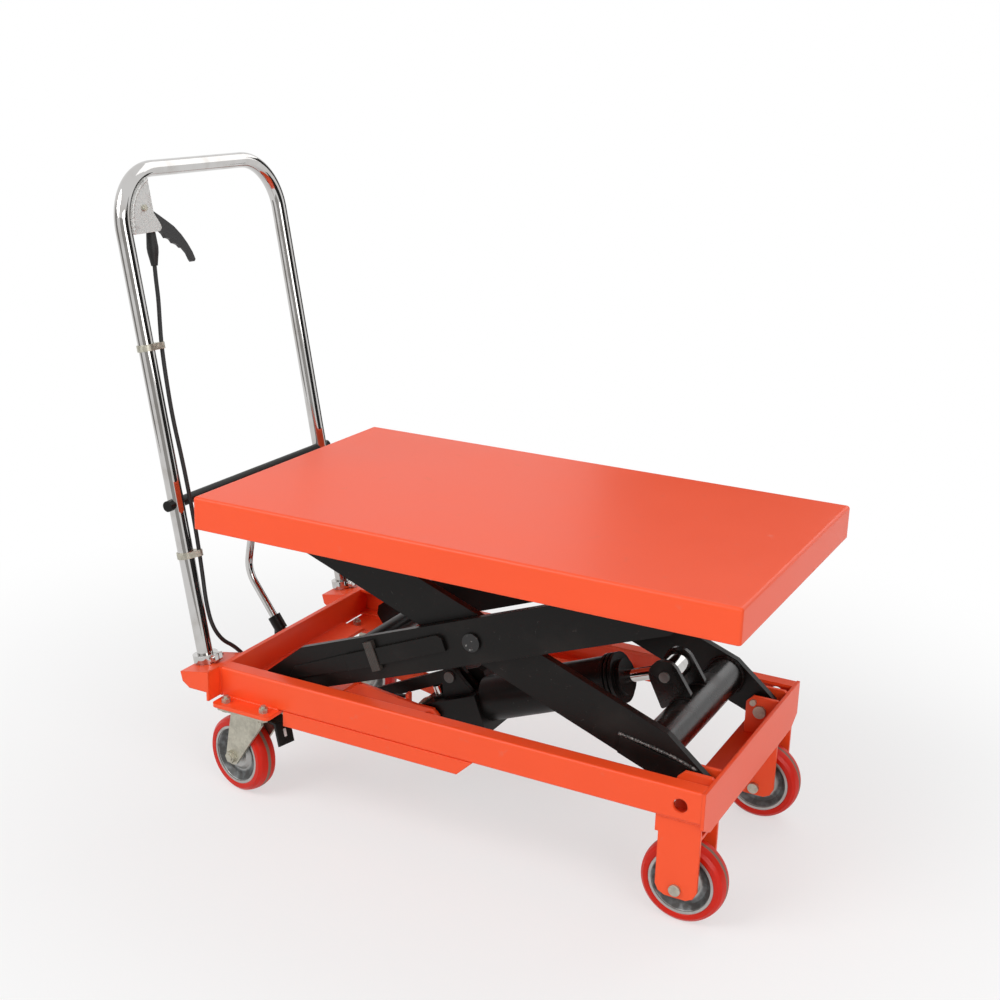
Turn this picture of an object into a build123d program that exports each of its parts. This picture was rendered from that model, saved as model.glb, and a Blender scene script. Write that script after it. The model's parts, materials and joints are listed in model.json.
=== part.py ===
from build123d import *
import os
from math import asin, atan2, cos, degrees, hypot, pi, radians, sin, tan

# Hand scissor lift table. Millimetres.
# Origin: on the floor, under the middle of the whole object.
# +X points to the fixed wheels, the push handle is at -X, +Z is up.
# The table is drawn a third of the way up, which is the rest pose.

os.makedirs("parts", exist_ok=True)

# ------------------------------------------------------------------ driving dimensions
table_length = 855
table_width = 500
handle_reach = 185  # the handle's bar stands this far out behind the table
handle_height = 976.5
lowered_height = 340
rest_height = 506
raised_height = 900

table_depth = 50
table_wall = 3
table_edge_radius = 5

rail_front_inset = 41.5  # from the table's front edge
rail_rear_inset = 13.5
rail_side_inset = 38.3
rail_height = 48
rail_wall = 5
rail_flange = 25
rear_member_wall = 8

front_web_drop = 22  # below the rails
front_flange_depth = 70
pivot_setback = 35  # from the frame's front face to the arms' fixed pivot
pivot_rise = 22  # the arms' pins over the rails' undersides
roller_end_room = 25.3  # from the frame's rear face to the roller, table down

wheel_diameter = 125
wheel_room = 47  # from the wheels' tops to the rails
wheel_half_width = 18
swivel_trail = 45
swivel_yaw = 12  # degrees, each swivel caster turned a little at rest

arm_wall = 12
arm_width = 66
arm_offset = 13  # the bar lies this far off the line through its pins
arm_pin_diameter = 20
table_pivot_drop = 22  # from the table's top to its pivots

handle_tube_diameter = 25
handle_corner_radius = 85

cylinder_diameter = 72
rod_diameter = 20
cable_diameter = 6.5

# clearances
shaft_clearance = 0.05  # radial, a pin in its hole
roller_clearance = 0.3  # a roller over its track
side_clearance = 0.5  # along a shaft, between pieces that turn on it
seat_gap = 0.3  # between round pieces on different bodies

# ------------------------------------------------------------------ worked-out places
overall_length = table_length + handle_reach
table_front = overall_length / 2
table_rear = table_front - table_length
table_middle = (table_front + table_rear) / 2
half_width = table_width / 2
frame_front = table_front - rail_front_inset
frame_rear = table_rear + rail_rear_inset
rail_outer = half_width - rail_side_inset
rail_inner = rail_outer - rail_wall
flange_edge = rail_outer - rail_flange
rail_bottom = wheel_diameter + wheel_room
rail_top = rail_bottom + rail_height
front_web_bottom = rail_bottom - front_web_drop
pivot_height = rail_bottom + pivot_rise
wheel_radius = wheel_diameter / 2

# The arms: their length comes from the frame, with the table down.
pivot_x = frame_front - pivot_setback
lowered_span = pivot_x - frame_rear - roller_end_room
lowered_rise = lowered_height - table_pivot_drop - pivot_height
arm_length = hypot(lowered_span, lowered_rise)
rest_rise = rest_height - table_pivot_drop - pivot_height
raised_rise = raised_height - table_pivot_drop - pivot_height
lowered_angle = degrees(asin(lowered_rise / arm_length))
rest_angle = degrees(asin(rest_rise / arm_length))
raised_angle = degrees(asin(raised_rise / arm_length))
rest_span = arm_length * cos(radians(rest_angle))
roller_x = pivot_x - rest_span
table_pivot_height = pivot_height + rest_rise

# Stations across the frame, from the rail inwards.
base_roller_width = 16
base_roller_inner = rail_inner - 2.7 - base_roller_width
outer_arm_outer = rail_outer - 43.7
outer_arm_inner = outer_arm_outer - arm_wall
inner_arm_outer = outer_arm_inner - 4
inner_arm_inner = inner_arm_outer - arm_wall

sides = {"near": -1, "far": 1}


# ------------------------------------------------------------------ helpers
def stand(outline, across, thickness, radius=0.0, mode=Mode.ADD):
    """Add a flat plate that stands along the table; thickness grows towards +Y."""
    with BuildSketch(Plane.XZ.offset(-across)) as profile:
        with BuildLine():
            if radius:
                FilletPolyline(*outline, radius=radius, close=True)
            else:
                Polyline(*outline, close=True)
        make_face()
    extrude(profile.sketch, amount=-thickness, mode=mode)


def stand_side(outline, side, inner, outer, radius=0.0, mode=Mode.ADD):
    """The same plate on one side of the table, between two distances from its middle."""
    stand(outline, side * inner if side > 0 else -outer, outer - inner, radius, mode)


def cross_rod(x, z, radius, low, high, mode=Mode.ADD):
    """Add a round bar that lies across the table, between two places along Y."""
    with BuildSketch(Plane.XZ.offset(-low)) as section:
        with Locations((x, z)):
            Circle(radius)
    extrude(section.sketch, amount=-(high - low), mode=mode)


def cross_rod_side(x, z, radius, side, inner, outer, mode=Mode.ADD):
    """The same bar on one side of the table, between two distances from its middle."""
    low, high = sorted((side * inner, side * outer))
    cross_rod(x, z, radius, low, high, mode)


def flat(outline, level, thickness, radius=0.0, mode=Mode.ADD):
    """Add a level plate from its outline in x and y; thickness grows upwards."""
    with BuildSketch(Plane.XY.offset(level)) as profile:
        with BuildLine():
            if radius:
                FilletPolyline(*outline, radius=radius, close=True)
            else:
                Polyline(*outline, close=True)
        make_face()
    extrude(profile.sketch, amount=thickness, mode=mode)


def post(x, y, radius, low, high, mode=Mode.ADD):
    """Add a round bar that stands upright."""
    with BuildSketch(Plane.XY.offset(low)) as section:
        with Locations((x, y)):
            Circle(radius)
    extrude(section.sketch, amount=high - low, mode=mode)


def hexagon_bolt(x, y, low, high, across_corners, mode=Mode.ADD):
    """Add an upright six-sided head or nut."""
    with BuildSketch(Plane.XY.offset(low)) as section:
        with Locations((x, y)):
            RegularPolygon(across_corners / 2, 6)
    extrude(section.sketch, amount=high - low, mode=mode)


def box_outline(low_x, high_x, low_z, high_z):
    return [(low_x, low_z), (high_x, low_z), (high_x, high_z), (low_x, high_z)]


# ------------------------------------------------------------------ base frame
pivot_hole_radius = 10.5
rail_edge_radius = 4
for name, side in sides.items():
    with BuildPart() as side_rail:
        with BuildSketch(Plane.YZ.offset(frame_rear)) as section:
            with Locations((side * (rail_outer - rail_flange / 2), rail_bottom + rail_height / 2)):
                Rectangle(rail_flange, rail_height)
            fillet(section.vertices().group_by(Axis.X)[-1 if side > 0 else 0], rail_edge_radius)
            with Locations((side * (rail_inner - rail_flange / 2), rail_bottom + rail_height / 2)):
                Rectangle(rail_flange, rail_height - 2 * rail_wall, mode=Mode.SUBTRACT)
        extrude(amount=frame_front - rail_wall - frame_rear)
        cross_rod_side(
            pivot_x,
            pivot_height,
            pivot_hole_radius,
            side,
            rail_inner - 1,
            rail_outer + 1,
            Mode.SUBTRACT,
        )
    side_rail.part.label = f"side_rail_{name}"
    export_step(side_rail.part, f"parts/side_rail_{name}.step")

# The front member: an upright web over the rails' ends, with a level flange below it.
front_web_shoulder = 6.5  # the web's cut corner starts this far below the rail
front_flange_half = rail_outer - 28.7
front_web_outline = [
    (-rail_outer, rail_top),
    (-rail_outer, rail_bottom - front_web_shoulder),
    (-front_flange_half, front_web_bottom),
    (front_flange_half, front_web_bottom),
    (rail_outer, rail_bottom - front_web_shoulder),
    (rail_outer, rail_top),
]
with BuildPart() as front_member:
    with BuildSketch(Plane.YZ.offset(frame_front - rail_wall)):
        with BuildLine():
            Polyline(*front_web_outline, close=True)
        make_face()
    extrude(amount=rail_wall)
    front_flange_rear = frame_front - front_flange_depth
    with BuildSketch(Plane.XY.offset(front_web_bottom)):
        with Locations(((front_flange_rear + frame_front - rail_wall) / 2, 0)):
            Rectangle(front_flange_depth - rail_wall, 2 * front_flange_half)
    extrude(amount=rail_wall)
front_member.part.label = "front_member"
export_step(front_member.part, "parts/front_member.step")

rear_member_rear = frame_rear - rear_member_wall
rear_flange_depth = 46
rear_flange_half = 128  # the flange stops short of the arms' low ends
rear_flange_wall = 5
with BuildPart() as rear_member:
    with BuildSketch(Plane.YZ.offset(rear_member_rear)):
        with Locations((0, rail_bottom + rail_height / 2)):
            Rectangle(2 * rail_outer, rail_height)
    extrude(amount=rear_member_wall)
    with BuildSketch(Plane.XY.offset(rail_bottom)):
        with Locations((frame_rear + rear_flange_depth / 2, 0)):
            Rectangle(rear_flange_depth, 2 * rear_flange_half)
    extrude(amount=rear_flange_wall)
rear_member.part.label = "rear_member"
export_step(rear_member.part, "parts/rear_member.step")

# A strip under each rail stiffens its middle.
stiffener_depth = 24
stiffener_rear = frame_rear + 116
stiffener_front = frame_rear + 422
stiffener_outline = [
    (stiffener_rear, rail_bottom - stiffener_depth),
    (stiffener_front, rail_bottom - stiffener_depth),
    (stiffener_front + stiffener_depth + 1, rail_bottom),
    (stiffener_rear, rail_bottom),
]
with BuildPart() as rail_stiffeners:
    for side in sides.values():
        stand_side(stiffener_outline, side, rail_inner, rail_outer)
rail_stiffeners.part.label = "rail_stiffeners"
export_step(rail_stiffeners.part, "parts/rail_stiffeners.step")

# ------------------------------------------------------------------ caster plates and their bolts
caster_x = frame_rear + 56
caster_across = rail_outer - 25.7
caster_plate_wall = 6
caster_plate_half_length = 53.5
caster_plate_half_width = 57
caster_plate_corner = 8
bolt_half_x = 35.5
bolt_half_y = 42
bolt_diameter = 8
bolt_head = 5
nut_height = 7
nut_corners = 15
swivel_plate_wall = 4
caster_plate_bottom = rail_bottom - caster_plate_wall
swivel_plate_bottom = caster_plate_bottom - swivel_plate_wall
bolt_places = [
    (caster_x + along * bolt_half_x, side * (caster_across + over * bolt_half_y))
    for side in sides.values()
    for along in (-1, 1)
    for over in (-1, 1)
]


def level_plate(x, y, half_length, half_width, level, thickness, corner):
    """Add a level plate with rounded corners, centred over a point."""
    with BuildSketch(Plane.XY.offset(level)) as profile:
        with Locations((x, y)):
            RectangleRounded(2 * half_length, 2 * half_width, corner)
    extrude(profile.sketch, amount=thickness)


with BuildPart() as caster_plates:
    for side in sides.values():
        level_plate(
            caster_x,
            side * caster_across,
            caster_plate_half_length,
            caster_plate_half_width,
            caster_plate_bottom,
            caster_plate_wall,
            caster_plate_corner,
        )
    for x, y in bolt_places:
        post(
            x,
            y,
            bolt_diameter / 2 + shaft_clearance,
            caster_plate_bottom - 1,
            rail_bottom + 1,
            Mode.SUBTRACT,
        )
caster_plates.part.label = "caster_plates"
export_step(caster_plates.part, "parts/caster_plates.step")

swivel_plate_half_length = 47
swivel_plate_half_width = 55
kingpin_radius = 6
kingpin_nut = 10
race_radius = 27
race_bottom = swivel_plate_bottom - 5
crown_wall = 6
crown_top = race_bottom - side_clearance
crown_bottom = crown_top - crown_wall
with BuildPart() as swivel_plates:
    for side in sides.values():
        level_plate(
            caster_x,
            side * caster_across,
            swivel_plate_half_length,
            swivel_plate_half_width,
            swivel_plate_bottom,
            swivel_plate_wall,
            caster_plate_corner,
        )
    for x, y in bolt_places:
        post(
            x,
            y,
            bolt_diameter / 2 + shaft_clearance,
            swivel_plate_bottom - 1,
            caster_plate_bottom + 1,
            Mode.SUBTRACT,
        )
    # The kingpin and the upper ball race hang from each plate.
    for side in sides.values():
        across = side * caster_across
        post(
            caster_x,
            across,
            kingpin_radius,
            crown_bottom - side_clearance - kingpin_nut,
            swivel_plate_bottom,
        )
        post(caster_x, across, race_radius, race_bottom, swivel_plate_bottom)
        hexagon_bolt(
            caster_x,
            across,
            crown_bottom - side_clearance - kingpin_nut,
            crown_bottom - side_clearance,
            4 * kingpin_radius,
        )
swivel_plates.part.label = "swivel_plates"
export_step(swivel_plates.part, "parts/swivel_plates.step")

with BuildPart() as caster_bolts:
    for x, y in bolt_places:
        hexagon_bolt(x, y, swivel_plate_bottom - bolt_head, swivel_plate_bottom, nut_corners)
        post(x, y, bolt_diameter / 2, swivel_plate_bottom, rail_bottom + nut_height + 4)
        hexagon_bolt(x, y, rail_bottom, rail_bottom + nut_height, nut_corners)
caster_bolts.part.label = "caster_bolts"
export_step(caster_bolts.part, "parts/caster_bolts.step")

# ------------------------------------------------------------------ push handle
handle_radius = handle_tube_diameter / 2
handle_foot_x = frame_rear - 43
handle_foot_height = rail_top
handle_across = rail_outer - 16.7
handle_bar_x = table_rear - handle_reach + handle_radius
handle_bar_height = handle_height - handle_radius
handle_rise = handle_bar_height - handle_foot_height
handle_lean = atan2(handle_foot_x - handle_bar_x, handle_rise)  # radians
handle_length = hypot(handle_foot_x - handle_bar_x, handle_rise)
lean_up = (-sin(handle_lean), 0, cos(handle_lean))
handle_plane = Plane(
    origin=(handle_foot_x, 0, handle_foot_height),
    x_dir=(0, 1, 0),
    z_dir=(cos(handle_lean), 0, sin(handle_lean)),
)


def on_handle(inwards, upwards, forwards=0.0):
    """A point beside the near upright: inwards from its axis, up along it, out to its front."""
    return handle_plane.from_local_coords(Vector(inwards - handle_across, upwards, forwards))


def handle_path(low):
    """The line through the middle of the bent tube, from one foot to the other."""
    FilletPolyline(
        (-handle_across, low),
        (-handle_across, handle_length),
        (handle_across, handle_length),
        (handle_across, low),
        radius=handle_corner_radius,
    )


# Folded brackets at the frame's rear corners take the handle's feet.
socket_inner = handle_across - 45
socket_outer = handle_across + 45
socket_wall = 4
socket_front = rear_member_rear
socket_depth = 50
socket_top_drop = socket_depth * tan(handle_lean)
socket_outline = [
    (socket_front, rail_top),
    (socket_front - socket_depth, rail_top - socket_top_drop),
    (socket_front - socket_depth + 4, rail_top - 25),
    (socket_front - socket_depth + 17, rail_top - 34),
    (socket_front, rail_top - 34),
]
socket_pocket = [
    (socket_front - socket_wall, rail_top - socket_wall - 0.5),
    (socket_front - socket_depth + socket_wall, rail_top - socket_top_drop - socket_wall),
    (socket_front - socket_depth + socket_wall + 4, rail_top - 27),
    (socket_front - socket_depth + socket_wall + 16, rail_top - 36),
    (socket_front - socket_wall, rail_top - 36),
]
socket_gusset = box_outline(socket_front, socket_front + socket_wall, rail_bottom, rail_top)
foot_depth = 30  # the tube's feet reach this far down into their sockets
with BuildPart() as handle_sockets:
    for side in sides.values():
        stand_side(socket_outline, side, socket_inner, socket_outer)
        stand_side(
            socket_pocket,
            side,
            socket_inner + socket_wall,
            socket_outer - socket_wall,
            mode=Mode.SUBTRACT,
        )
        stand_side(socket_gusset, side, rail_outer, socket_outer)
    for side in sides.values():
        with BuildSketch(
            Plane(
                origin=handle_plane.from_local_coords(Vector(side * handle_across, 20, 0)),
                x_dir=(0, 1, 0),
                z_dir=lean_up,
            )
        ):
            Circle(handle_radius + shaft_clearance)
        extrude(amount=-(foot_depth + 25), mode=Mode.SUBTRACT)
handle_sockets.part.label = "handle_sockets"
export_step(handle_sockets.part, "parts/handle_sockets.step")

handle_tube_wall = 2
with BuildPart() as handle_tube:
    with BuildLine(handle_plane) as tube_path:
        handle_path(-foot_depth)
    with BuildSketch(Plane(origin=tube_path.line @ 0, z_dir=lean_up)):
        Circle(handle_radius)
        Circle(handle_radius - handle_tube_wall, mode=Mode.SUBTRACT)
    sweep(path=tube_path.line)
handle_tube.part.label = "handle_tube"
export_step(handle_tube.part, "parts/handle_tube.step")


def leg_section(side, upwards):
    """A plane square to an upright of the handle, centred on its axis."""
    centre = handle_plane.from_local_coords(Vector(side * handle_across, upwards, 0))
    return Plane(origin=centre, x_dir=(0, 1, 0), z_dir=lean_up)


# A clamp ring over each socket, split at the front and closed by a small bolt.
collar_level = -(socket_front - handle_foot_x) * sin(handle_lean)
collar_radius = 20
collar_height = 12
collar_step = 3
clamp_lug = 9
clamp_bolt_radius = 3
with BuildPart() as handle_collars:
    for side in sides.values():
        with BuildSketch(leg_section(side, collar_level)) as step:
            Circle(collar_radius - 3)
        extrude(step.sketch, amount=collar_step)
        with BuildSketch(leg_section(side, collar_level + collar_step)) as ring:
            Circle(collar_radius)
            with Locations((0, -collar_radius - 2)):
                Rectangle(2 * clamp_lug, clamp_lug)
        extrude(ring.sketch, amount=collar_height)
        with BuildSketch(leg_section(side, collar_level)) as bore:
            Circle(handle_radius + shaft_clearance)
            with Locations((0, -collar_radius - 2)):
                Rectangle(2, clamp_lug + 6)
        extrude(bore.sketch, amount=collar_height + collar_step, mode=Mode.SUBTRACT)
        # The bolt's head and nut close the two lugs.
        bolt_middle = handle_plane.from_local_coords(
            Vector(side * handle_across, collar_level + collar_step + collar_height / 2, collar_radius + 3)
        )
        with BuildSketch(Plane(origin=bolt_middle, z_dir=(0, 1, 0)).offset(-clamp_lug - 4)) as bolt:
            Circle(clamp_bolt_radius)
        extrude(bolt.sketch, amount=2 * clamp_lug + 8)
handle_collars.part.label = "handle_collars"
export_step(handle_collars.part, "parts/handle_collars.step")

# The cross bar is bolted between the uprights, with caps over the bolts' ends.
cross_bar_level = 252.5
cross_bar_radius = 8.5
cross_bar_cap = 9
cross_bar_middle = handle_plane.from_local_coords(Vector(0, cross_bar_level, 0))
with BuildPart() as handle_cross_bar:
    cap_end = handle_across + handle_radius + cross_bar_cap
    with BuildSketch(Plane.XZ.offset(-cap_end)) as section:
        with Locations((cross_bar_middle.X, cross_bar_middle.Z)):
            Circle(cross_bar_radius)
    extrude(section.sketch, amount=2 * cap_end)
    for side in sides.values():
        with BuildSketch(leg_section(side, cross_bar_level - 20)) as gap:
            Circle(handle_radius + shaft_clearance)
        extrude(gap.sketch, amount=40, mode=Mode.SUBTRACT)
handle_cross_bar.part.label = "handle_cross_bar"
export_step(handle_cross_bar.part, "parts/handle_cross_bar.step")

# ------------------------------------------------------------------ release lever on the near upright
# Outlines are (inwards from the upright's axis, down from the middle of the handle's top bar).
lever_half = 3
cheek_half = 10
cheek_wall = 2
lever_pivot = (42, -57.4)
lever_pin_radius = 3
boot_top = (57.5, -94.4)
boot_bottom = (52, -144.4)
bracket_outline = [
    (61, -8.4),
    (61, -66.4),
    (72, -84.4),
    (73, -89.4),
    (70, -93.4),
    (66, -94.4),
    (4, -94.4),
    (4.5, -65.4),
    (16, -35.4),
    (35, -16.4),
]
bracket_cavity = [
    (20.5, -92.4),
    (64, -92.4),
    (70, -100),
    (90, -100),
    (90, -14.4),
    (49.5, -14.4),
    (33.5, -32.4),
    (26.5, -65.4),
]
lever_outline = [
    (37, -47),
    (56, -55.5),
    (76, -68),
    (93, -79),
    (109, -90),
    (123, -104),
    (134, -119),
    (142, -133),
    (146, -145),
    (143, -148),
    (137, -148),
    (134, -144),
    (130, -134),
    (122, -125),
    (117, -124),
    (112, -119),
    (105, -116),
    (101, -115),
    (97, -109),
    (90, -106),
    (86, -106),
    (82, -99),
    (74, -92),
    (56, -77),
    (37, -66),
]


def lever_section(outline, forwards):
    """A face in the handle's plane from an outline that hangs from the top bar."""
    with BuildSketch(handle_plane.offset(forwards)) as profile:
        with BuildLine():
            Polyline(*[(u - handle_across, handle_length + v) for u, v in outline], close=True)
        make_face()
    return profile.sketch


def lever_pin_section(radius, forwards):
    """A circle about the lever's pivot, in a plane beside the handle's own."""
    with BuildSketch(handle_plane.offset(forwards)) as profile:
        with Locations((lever_pivot[0] - handle_across, handle_length + lever_pivot[1])):
            Circle(radius)
    return profile.sketch


with BuildPart() as tube_space:
    with BuildLine(handle_plane) as space_path:
        handle_path(0)
    with BuildSketch(Plane(origin=space_path.line @ 0, z_dir=lean_up)):
        Circle(handle_radius + shaft_clearance)
    sweep(path=space_path.line)

with BuildPart() as lever_bracket:
    extrude(lever_section(bracket_outline, -cheek_half), amount=2 * cheek_half)
    extrude(
        lever_section(bracket_cavity, -cheek_half + cheek_wall),
        amount=2 * (cheek_half - cheek_wall),
        mode=Mode.SUBTRACT,
    )
    extrude(
        lever_pin_section(lever_pin_radius + shaft_clearance, -cheek_half - 1),
        amount=2 * cheek_half + 2,
        mode=Mode.SUBTRACT,
    )
    add(tube_space.part, mode=Mode.SUBTRACT)
lever_bracket.part.label = "lever_bracket"
export_step(lever_bracket.part, "parts/lever_bracket.step")

with BuildPart() as release_lever:
    extrude(lever_section(lever_outline, -lever_half), amount=2 * lever_half)
    hub_half = cheek_half - cheek_wall - side_clearance
    extrude(lever_pin_section(8, -hub_half), amount=2 * hub_half)
    extrude(
        lever_pin_section(lever_pin_radius + shaft_clearance, -cheek_half),
        amount=2 * cheek_half,
        mode=Mode.SUBTRACT,
    )
release_lever.part.label = "release_lever"
export_step(release_lever.part, "parts/release_lever.step")


def below_bar(inwards, down, forwards=0.0):
    """A point on the near side of the handle, down from the middle of its top bar."""
    return on_handle(inwards, handle_length + down, forwards)


# ------------------------------------------------------------------ release cable, held all the way
boot_axis = (below_bar(*boot_bottom) - below_bar(*boot_top)).normalized()
boot_length = (below_bar(*boot_bottom) - below_bar(*boot_top)).length
cable_entry = 10  # how far the cable reaches into the boot
pump_stop_x = frame_rear + 236  # the cable ends in a stop beside the pump
pump_stop_height = rail_bottom - 12
pump_stop_across = -42
# Inwards, up and forwards of the upright's axis.
clip_places = [(17, handle_length - 262, 15), (11, 170, 17.5)]
cable_route = [
    below_bar(*boot_bottom) - boot_axis * cable_entry,
    below_bar(*boot_bottom),
    below_bar(48, -166, 1),
    below_bar(41, -194, 5),
    below_bar(29, -226, 10),
    below_bar(17, -262, 15),
    below_bar(11, -312, 17),
    below_bar(9.5, -374, 16.5),
    below_bar(12, -436, 17.5),
    below_bar(13.5, -498, 17),
    below_bar(12.5, -556, 17.5),
    on_handle(9, 140, 17.5),
    on_handle(4, 92, 18),
    on_handle(6, 52, 19),
    on_handle(22, 22, 20),
    on_handle(50, 2, 19),
    Vector(frame_rear - 23, -108, 186),
    Vector(frame_rear - 12, -88, 156),
    Vector(frame_rear + 22, -70, 137),
    Vector(frame_rear + 72, -54, 131),
    Vector(frame_rear + 128, -43, 135),
    Vector(frame_rear + 184, -41, 147),
    Vector(pump_stop_x, pump_stop_across, pump_stop_height),
]


def bend_radii(points):
    """For each corner: 0.45 of its shorter run, divided by the tangent of half the turn."""
    radii = []
    for before, corner, after in zip(points, points[1:], points[2:]):
        arriving = corner - before
        leaving = after - corner
        half_turn = radians(arriving.get_angle(leaving)) / 2
        radii.append(0.45 * min(arriving.length, leaving.length) / tan(half_turn))
    return radii


cable_radii = bend_radii(cable_route)
print("cable bend radii", [round(radius) for radius in cable_radii])
with BuildPart() as release_cable:
    with BuildLine() as cable_line:
        FilletPolyline(*cable_route, radius=cable_radii)
    with BuildSketch(Plane(origin=cable_line.line @ 0, z_dir=cable_line.line % 0)):
        Circle(cable_diameter / 2)
    sweep(path=cable_line.line)
with BuildPart() as cable_space:
    with BuildSketch(Plane(origin=cable_line.line @ 0, z_dir=cable_line.line % 0)):
        Circle(cable_diameter / 2 + shaft_clearance)
    sweep(path=cable_line.line)
cable_length = sum(edge.length for edge in cable_line.edges())
print(
    "cable length",
    round(cable_length),
    "volume",
    release_cable.part.volume / (pi * cable_diameter**2 / 4) / cable_length,
)
release_cable.part.label = "release_cable"
export_step(release_cable.part, "parts/release_cable.step")

# A rubber boot hangs from the bracket and lets the cable out.
boot_levels = [(0.0, 7), (0.45, 9), (0.6, 8.5), (1.0, 5)]
boot_side = Plane(
    origin=below_bar(*boot_top),
    x_dir=handle_plane.z_dir,
    z_dir=handle_plane.z_dir.cross(boot_axis),
)
with BuildPart() as cable_boot:
    with BuildSketch(boot_side):
        with BuildLine():
            Polyline(
                (0, 0),
                *[(radius, level * boot_length) for level, radius in boot_levels],
                (0, boot_length),
                close=True,
            )
        make_face()
    revolve(axis=Axis(below_bar(*boot_top), boot_axis))
    add(lever_bracket.part, mode=Mode.SUBTRACT)
    add(cable_space.part, mode=Mode.SUBTRACT)
cable_boot.part.label = "cable_boot"
export_step(cable_boot.part, "parts/cable_boot.step")

# Rubber bands hold the cable to the upright.
clip_wall = 2
clip_height = 10
with BuildPart() as cable_clips:
    for inwards, level, forwards in clip_places:
        low_end = level - clip_height / 2
        with BuildSketch(leg_section(-1, low_end)) as band:
            Circle(handle_radius + clip_wall)
            with Locations((inwards, -forwards)):
                Circle(cable_diameter / 2 + clip_wall)
            make_hull()
            Circle(handle_radius + shaft_clearance, mode=Mode.SUBTRACT)
        extrude(band.sketch, amount=clip_height)
    add(cable_space.part, mode=Mode.SUBTRACT)
cable_clips.part.label = "cable_clips"
export_step(cable_clips.part, "parts/cable_clips.step")

# ------------------------------------------------------------------ wheels
axle_radius = 6
tyre_inner = wheel_radius - 14.5
rim_half = wheel_half_width - 1


def wheel_core(plane, hub_half):
    """Add a metal wheel centre that turns about the plane's x direction."""
    half = [
        (hub_half, axle_radius + shaft_clearance),
        (hub_half, 12),
        (13, 12),
        (13, 21),
        (8, 27),
        (8, tyre_inner - 12),
        (rim_half - 2, tyre_inner - 4),
        (rim_half, tyre_inner - 4),
        (rim_half, tyre_inner),
    ]
    with BuildSketch(plane) as profile:
        with BuildLine():
            Polyline(*half, *[(-across, radius) for across, radius in reversed(half)], close=True)
        make_face()
    revolve(profile.sketch, axis=Axis(plane.origin, plane.x_dir))


def wheel_tyre(plane):
    """Add a solid tyre with a slightly crowned tread and a moulding band round its middle."""
    shoulder = wheel_radius - 2.5
    with BuildSketch(plane) as profile:
        with BuildLine():
            Polyline(
                (-14, shoulder),
                (-wheel_half_width, wheel_radius - 7),
                (-wheel_half_width, tyre_inner + 1.5),
                (-rim_half, tyre_inner),
                (rim_half, tyre_inner),
                (wheel_half_width, tyre_inner + 1.5),
                (wheel_half_width, wheel_radius - 7),
                (14, shoulder),
            )
            ThreePointArc((-14, shoulder), (0, wheel_radius), (14, shoulder))
        make_face()
    revolve(profile.sketch, axis=Axis(plane.origin, plane.x_dir))


fixed_axle_x = frame_front - 36
fixed_wheel_across = rail_outer - 43.2
fixed_fork_half = 37.5
fixed_hub_half = fixed_fork_half - rail_wall - side_clearance
fork_front = frame_front - rail_wall
fork_leg_rear = frame_front - 66
fork_bottom = wheel_radius - 12.5
fork_corner = 15
fork_leg = [
    (fork_leg_rear, front_web_bottom - rail_wall),
    (fork_leg_rear, fork_bottom + fork_corner),
    (fork_leg_rear + 5, fork_bottom + 5),
    (fork_leg_rear + fork_corner, fork_bottom),
    (fork_front - fork_corner, fork_bottom),
    (fork_front - 5, fork_bottom + 5),
    (fork_front, fork_bottom + fork_corner),
]
fork_leg_outer = [
    (fork_leg_rear - 5, rail_bottom),
    (fork_leg_rear - 5, front_web_bottom),
    *fork_leg,
    (fork_front, rail_bottom),
]
fork_leg_inner = [*fork_leg, (fork_front, front_web_bottom - rail_wall)]
fork_inner = fixed_wheel_across - fixed_fork_half
fork_outer = fixed_wheel_across + fixed_fork_half
with BuildPart() as fixed_forks:
    for side in sides.values():
        stand_side(fork_leg_outer, side, fork_outer - rail_wall, fork_outer)
        stand_side(fork_leg_inner, side, fork_inner, fork_inner + rail_wall)
        crown = box_outline(fork_leg_rear - 5, fork_front, front_web_bottom - rail_wall, front_web_bottom)
        stand_side(crown, side, fork_inner, fork_outer)
        cross_rod_side(
            fixed_axle_x,
            wheel_radius,
            axle_radius + shaft_clearance,
            side,
            fork_inner - 1,
            fork_outer + 1,
            Mode.SUBTRACT,
        )
fixed_forks.part.label = "fixed_forks"
export_step(fixed_forks.part, "parts/fixed_forks.step")

for name, side in sides.items():
    wheel_plane = Plane(
        origin=(fixed_axle_x, side * fixed_wheel_across, wheel_radius),
        x_dir=(0, 1, 0),
        z_dir=(1, 0, 0),
    )
    with BuildPart() as fixed_hub:
        wheel_core(wheel_plane, fixed_hub_half)
    fixed_hub.part.label = f"fixed_hub_{name}"
    export_step(fixed_hub.part, f"parts/fixed_hub_{name}.step")

    with BuildPart() as fixed_tyre:
        wheel_tyre(wheel_plane)
    fixed_tyre.part.label = f"fixed_tyre_{name}"
    export_step(fixed_tyre.part, f"parts/fixed_tyre_{name}.step")

# Swivel casters, each drawn trailing and turned a little inwards.
swivel_leg_wall = 5
swivel_leg_inner = wheel_half_width + 1
swivel_leg_outer = swivel_leg_inner + swivel_leg_wall
swivel_hub_half = swivel_leg_inner - side_clearance
swivel_leg_end = 14
swivel_leg_front = 26
swivel_leg_rear = 42
swivel_leg_shoulder = crown_top - 18
pedal_pin_radius = 3
pedal_hub_radius = 4.5
pedal_pin_x = 19
pedal_pin_height = crown_bottom - side_clearance - pedal_hub_radius
pedal_half_width = 15
pedal_outline = [
    (pedal_pin_x, pedal_pin_height + 2),
    (pedal_pin_x + 30, pedal_pin_height + 2),
    (pedal_pin_x + 40, pedal_pin_height - 34),
    (pedal_pin_x + 36, pedal_pin_height - 36),
    (pedal_pin_x + 26, pedal_pin_height - 2),
    (pedal_pin_x, pedal_pin_height - 2),
]
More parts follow.
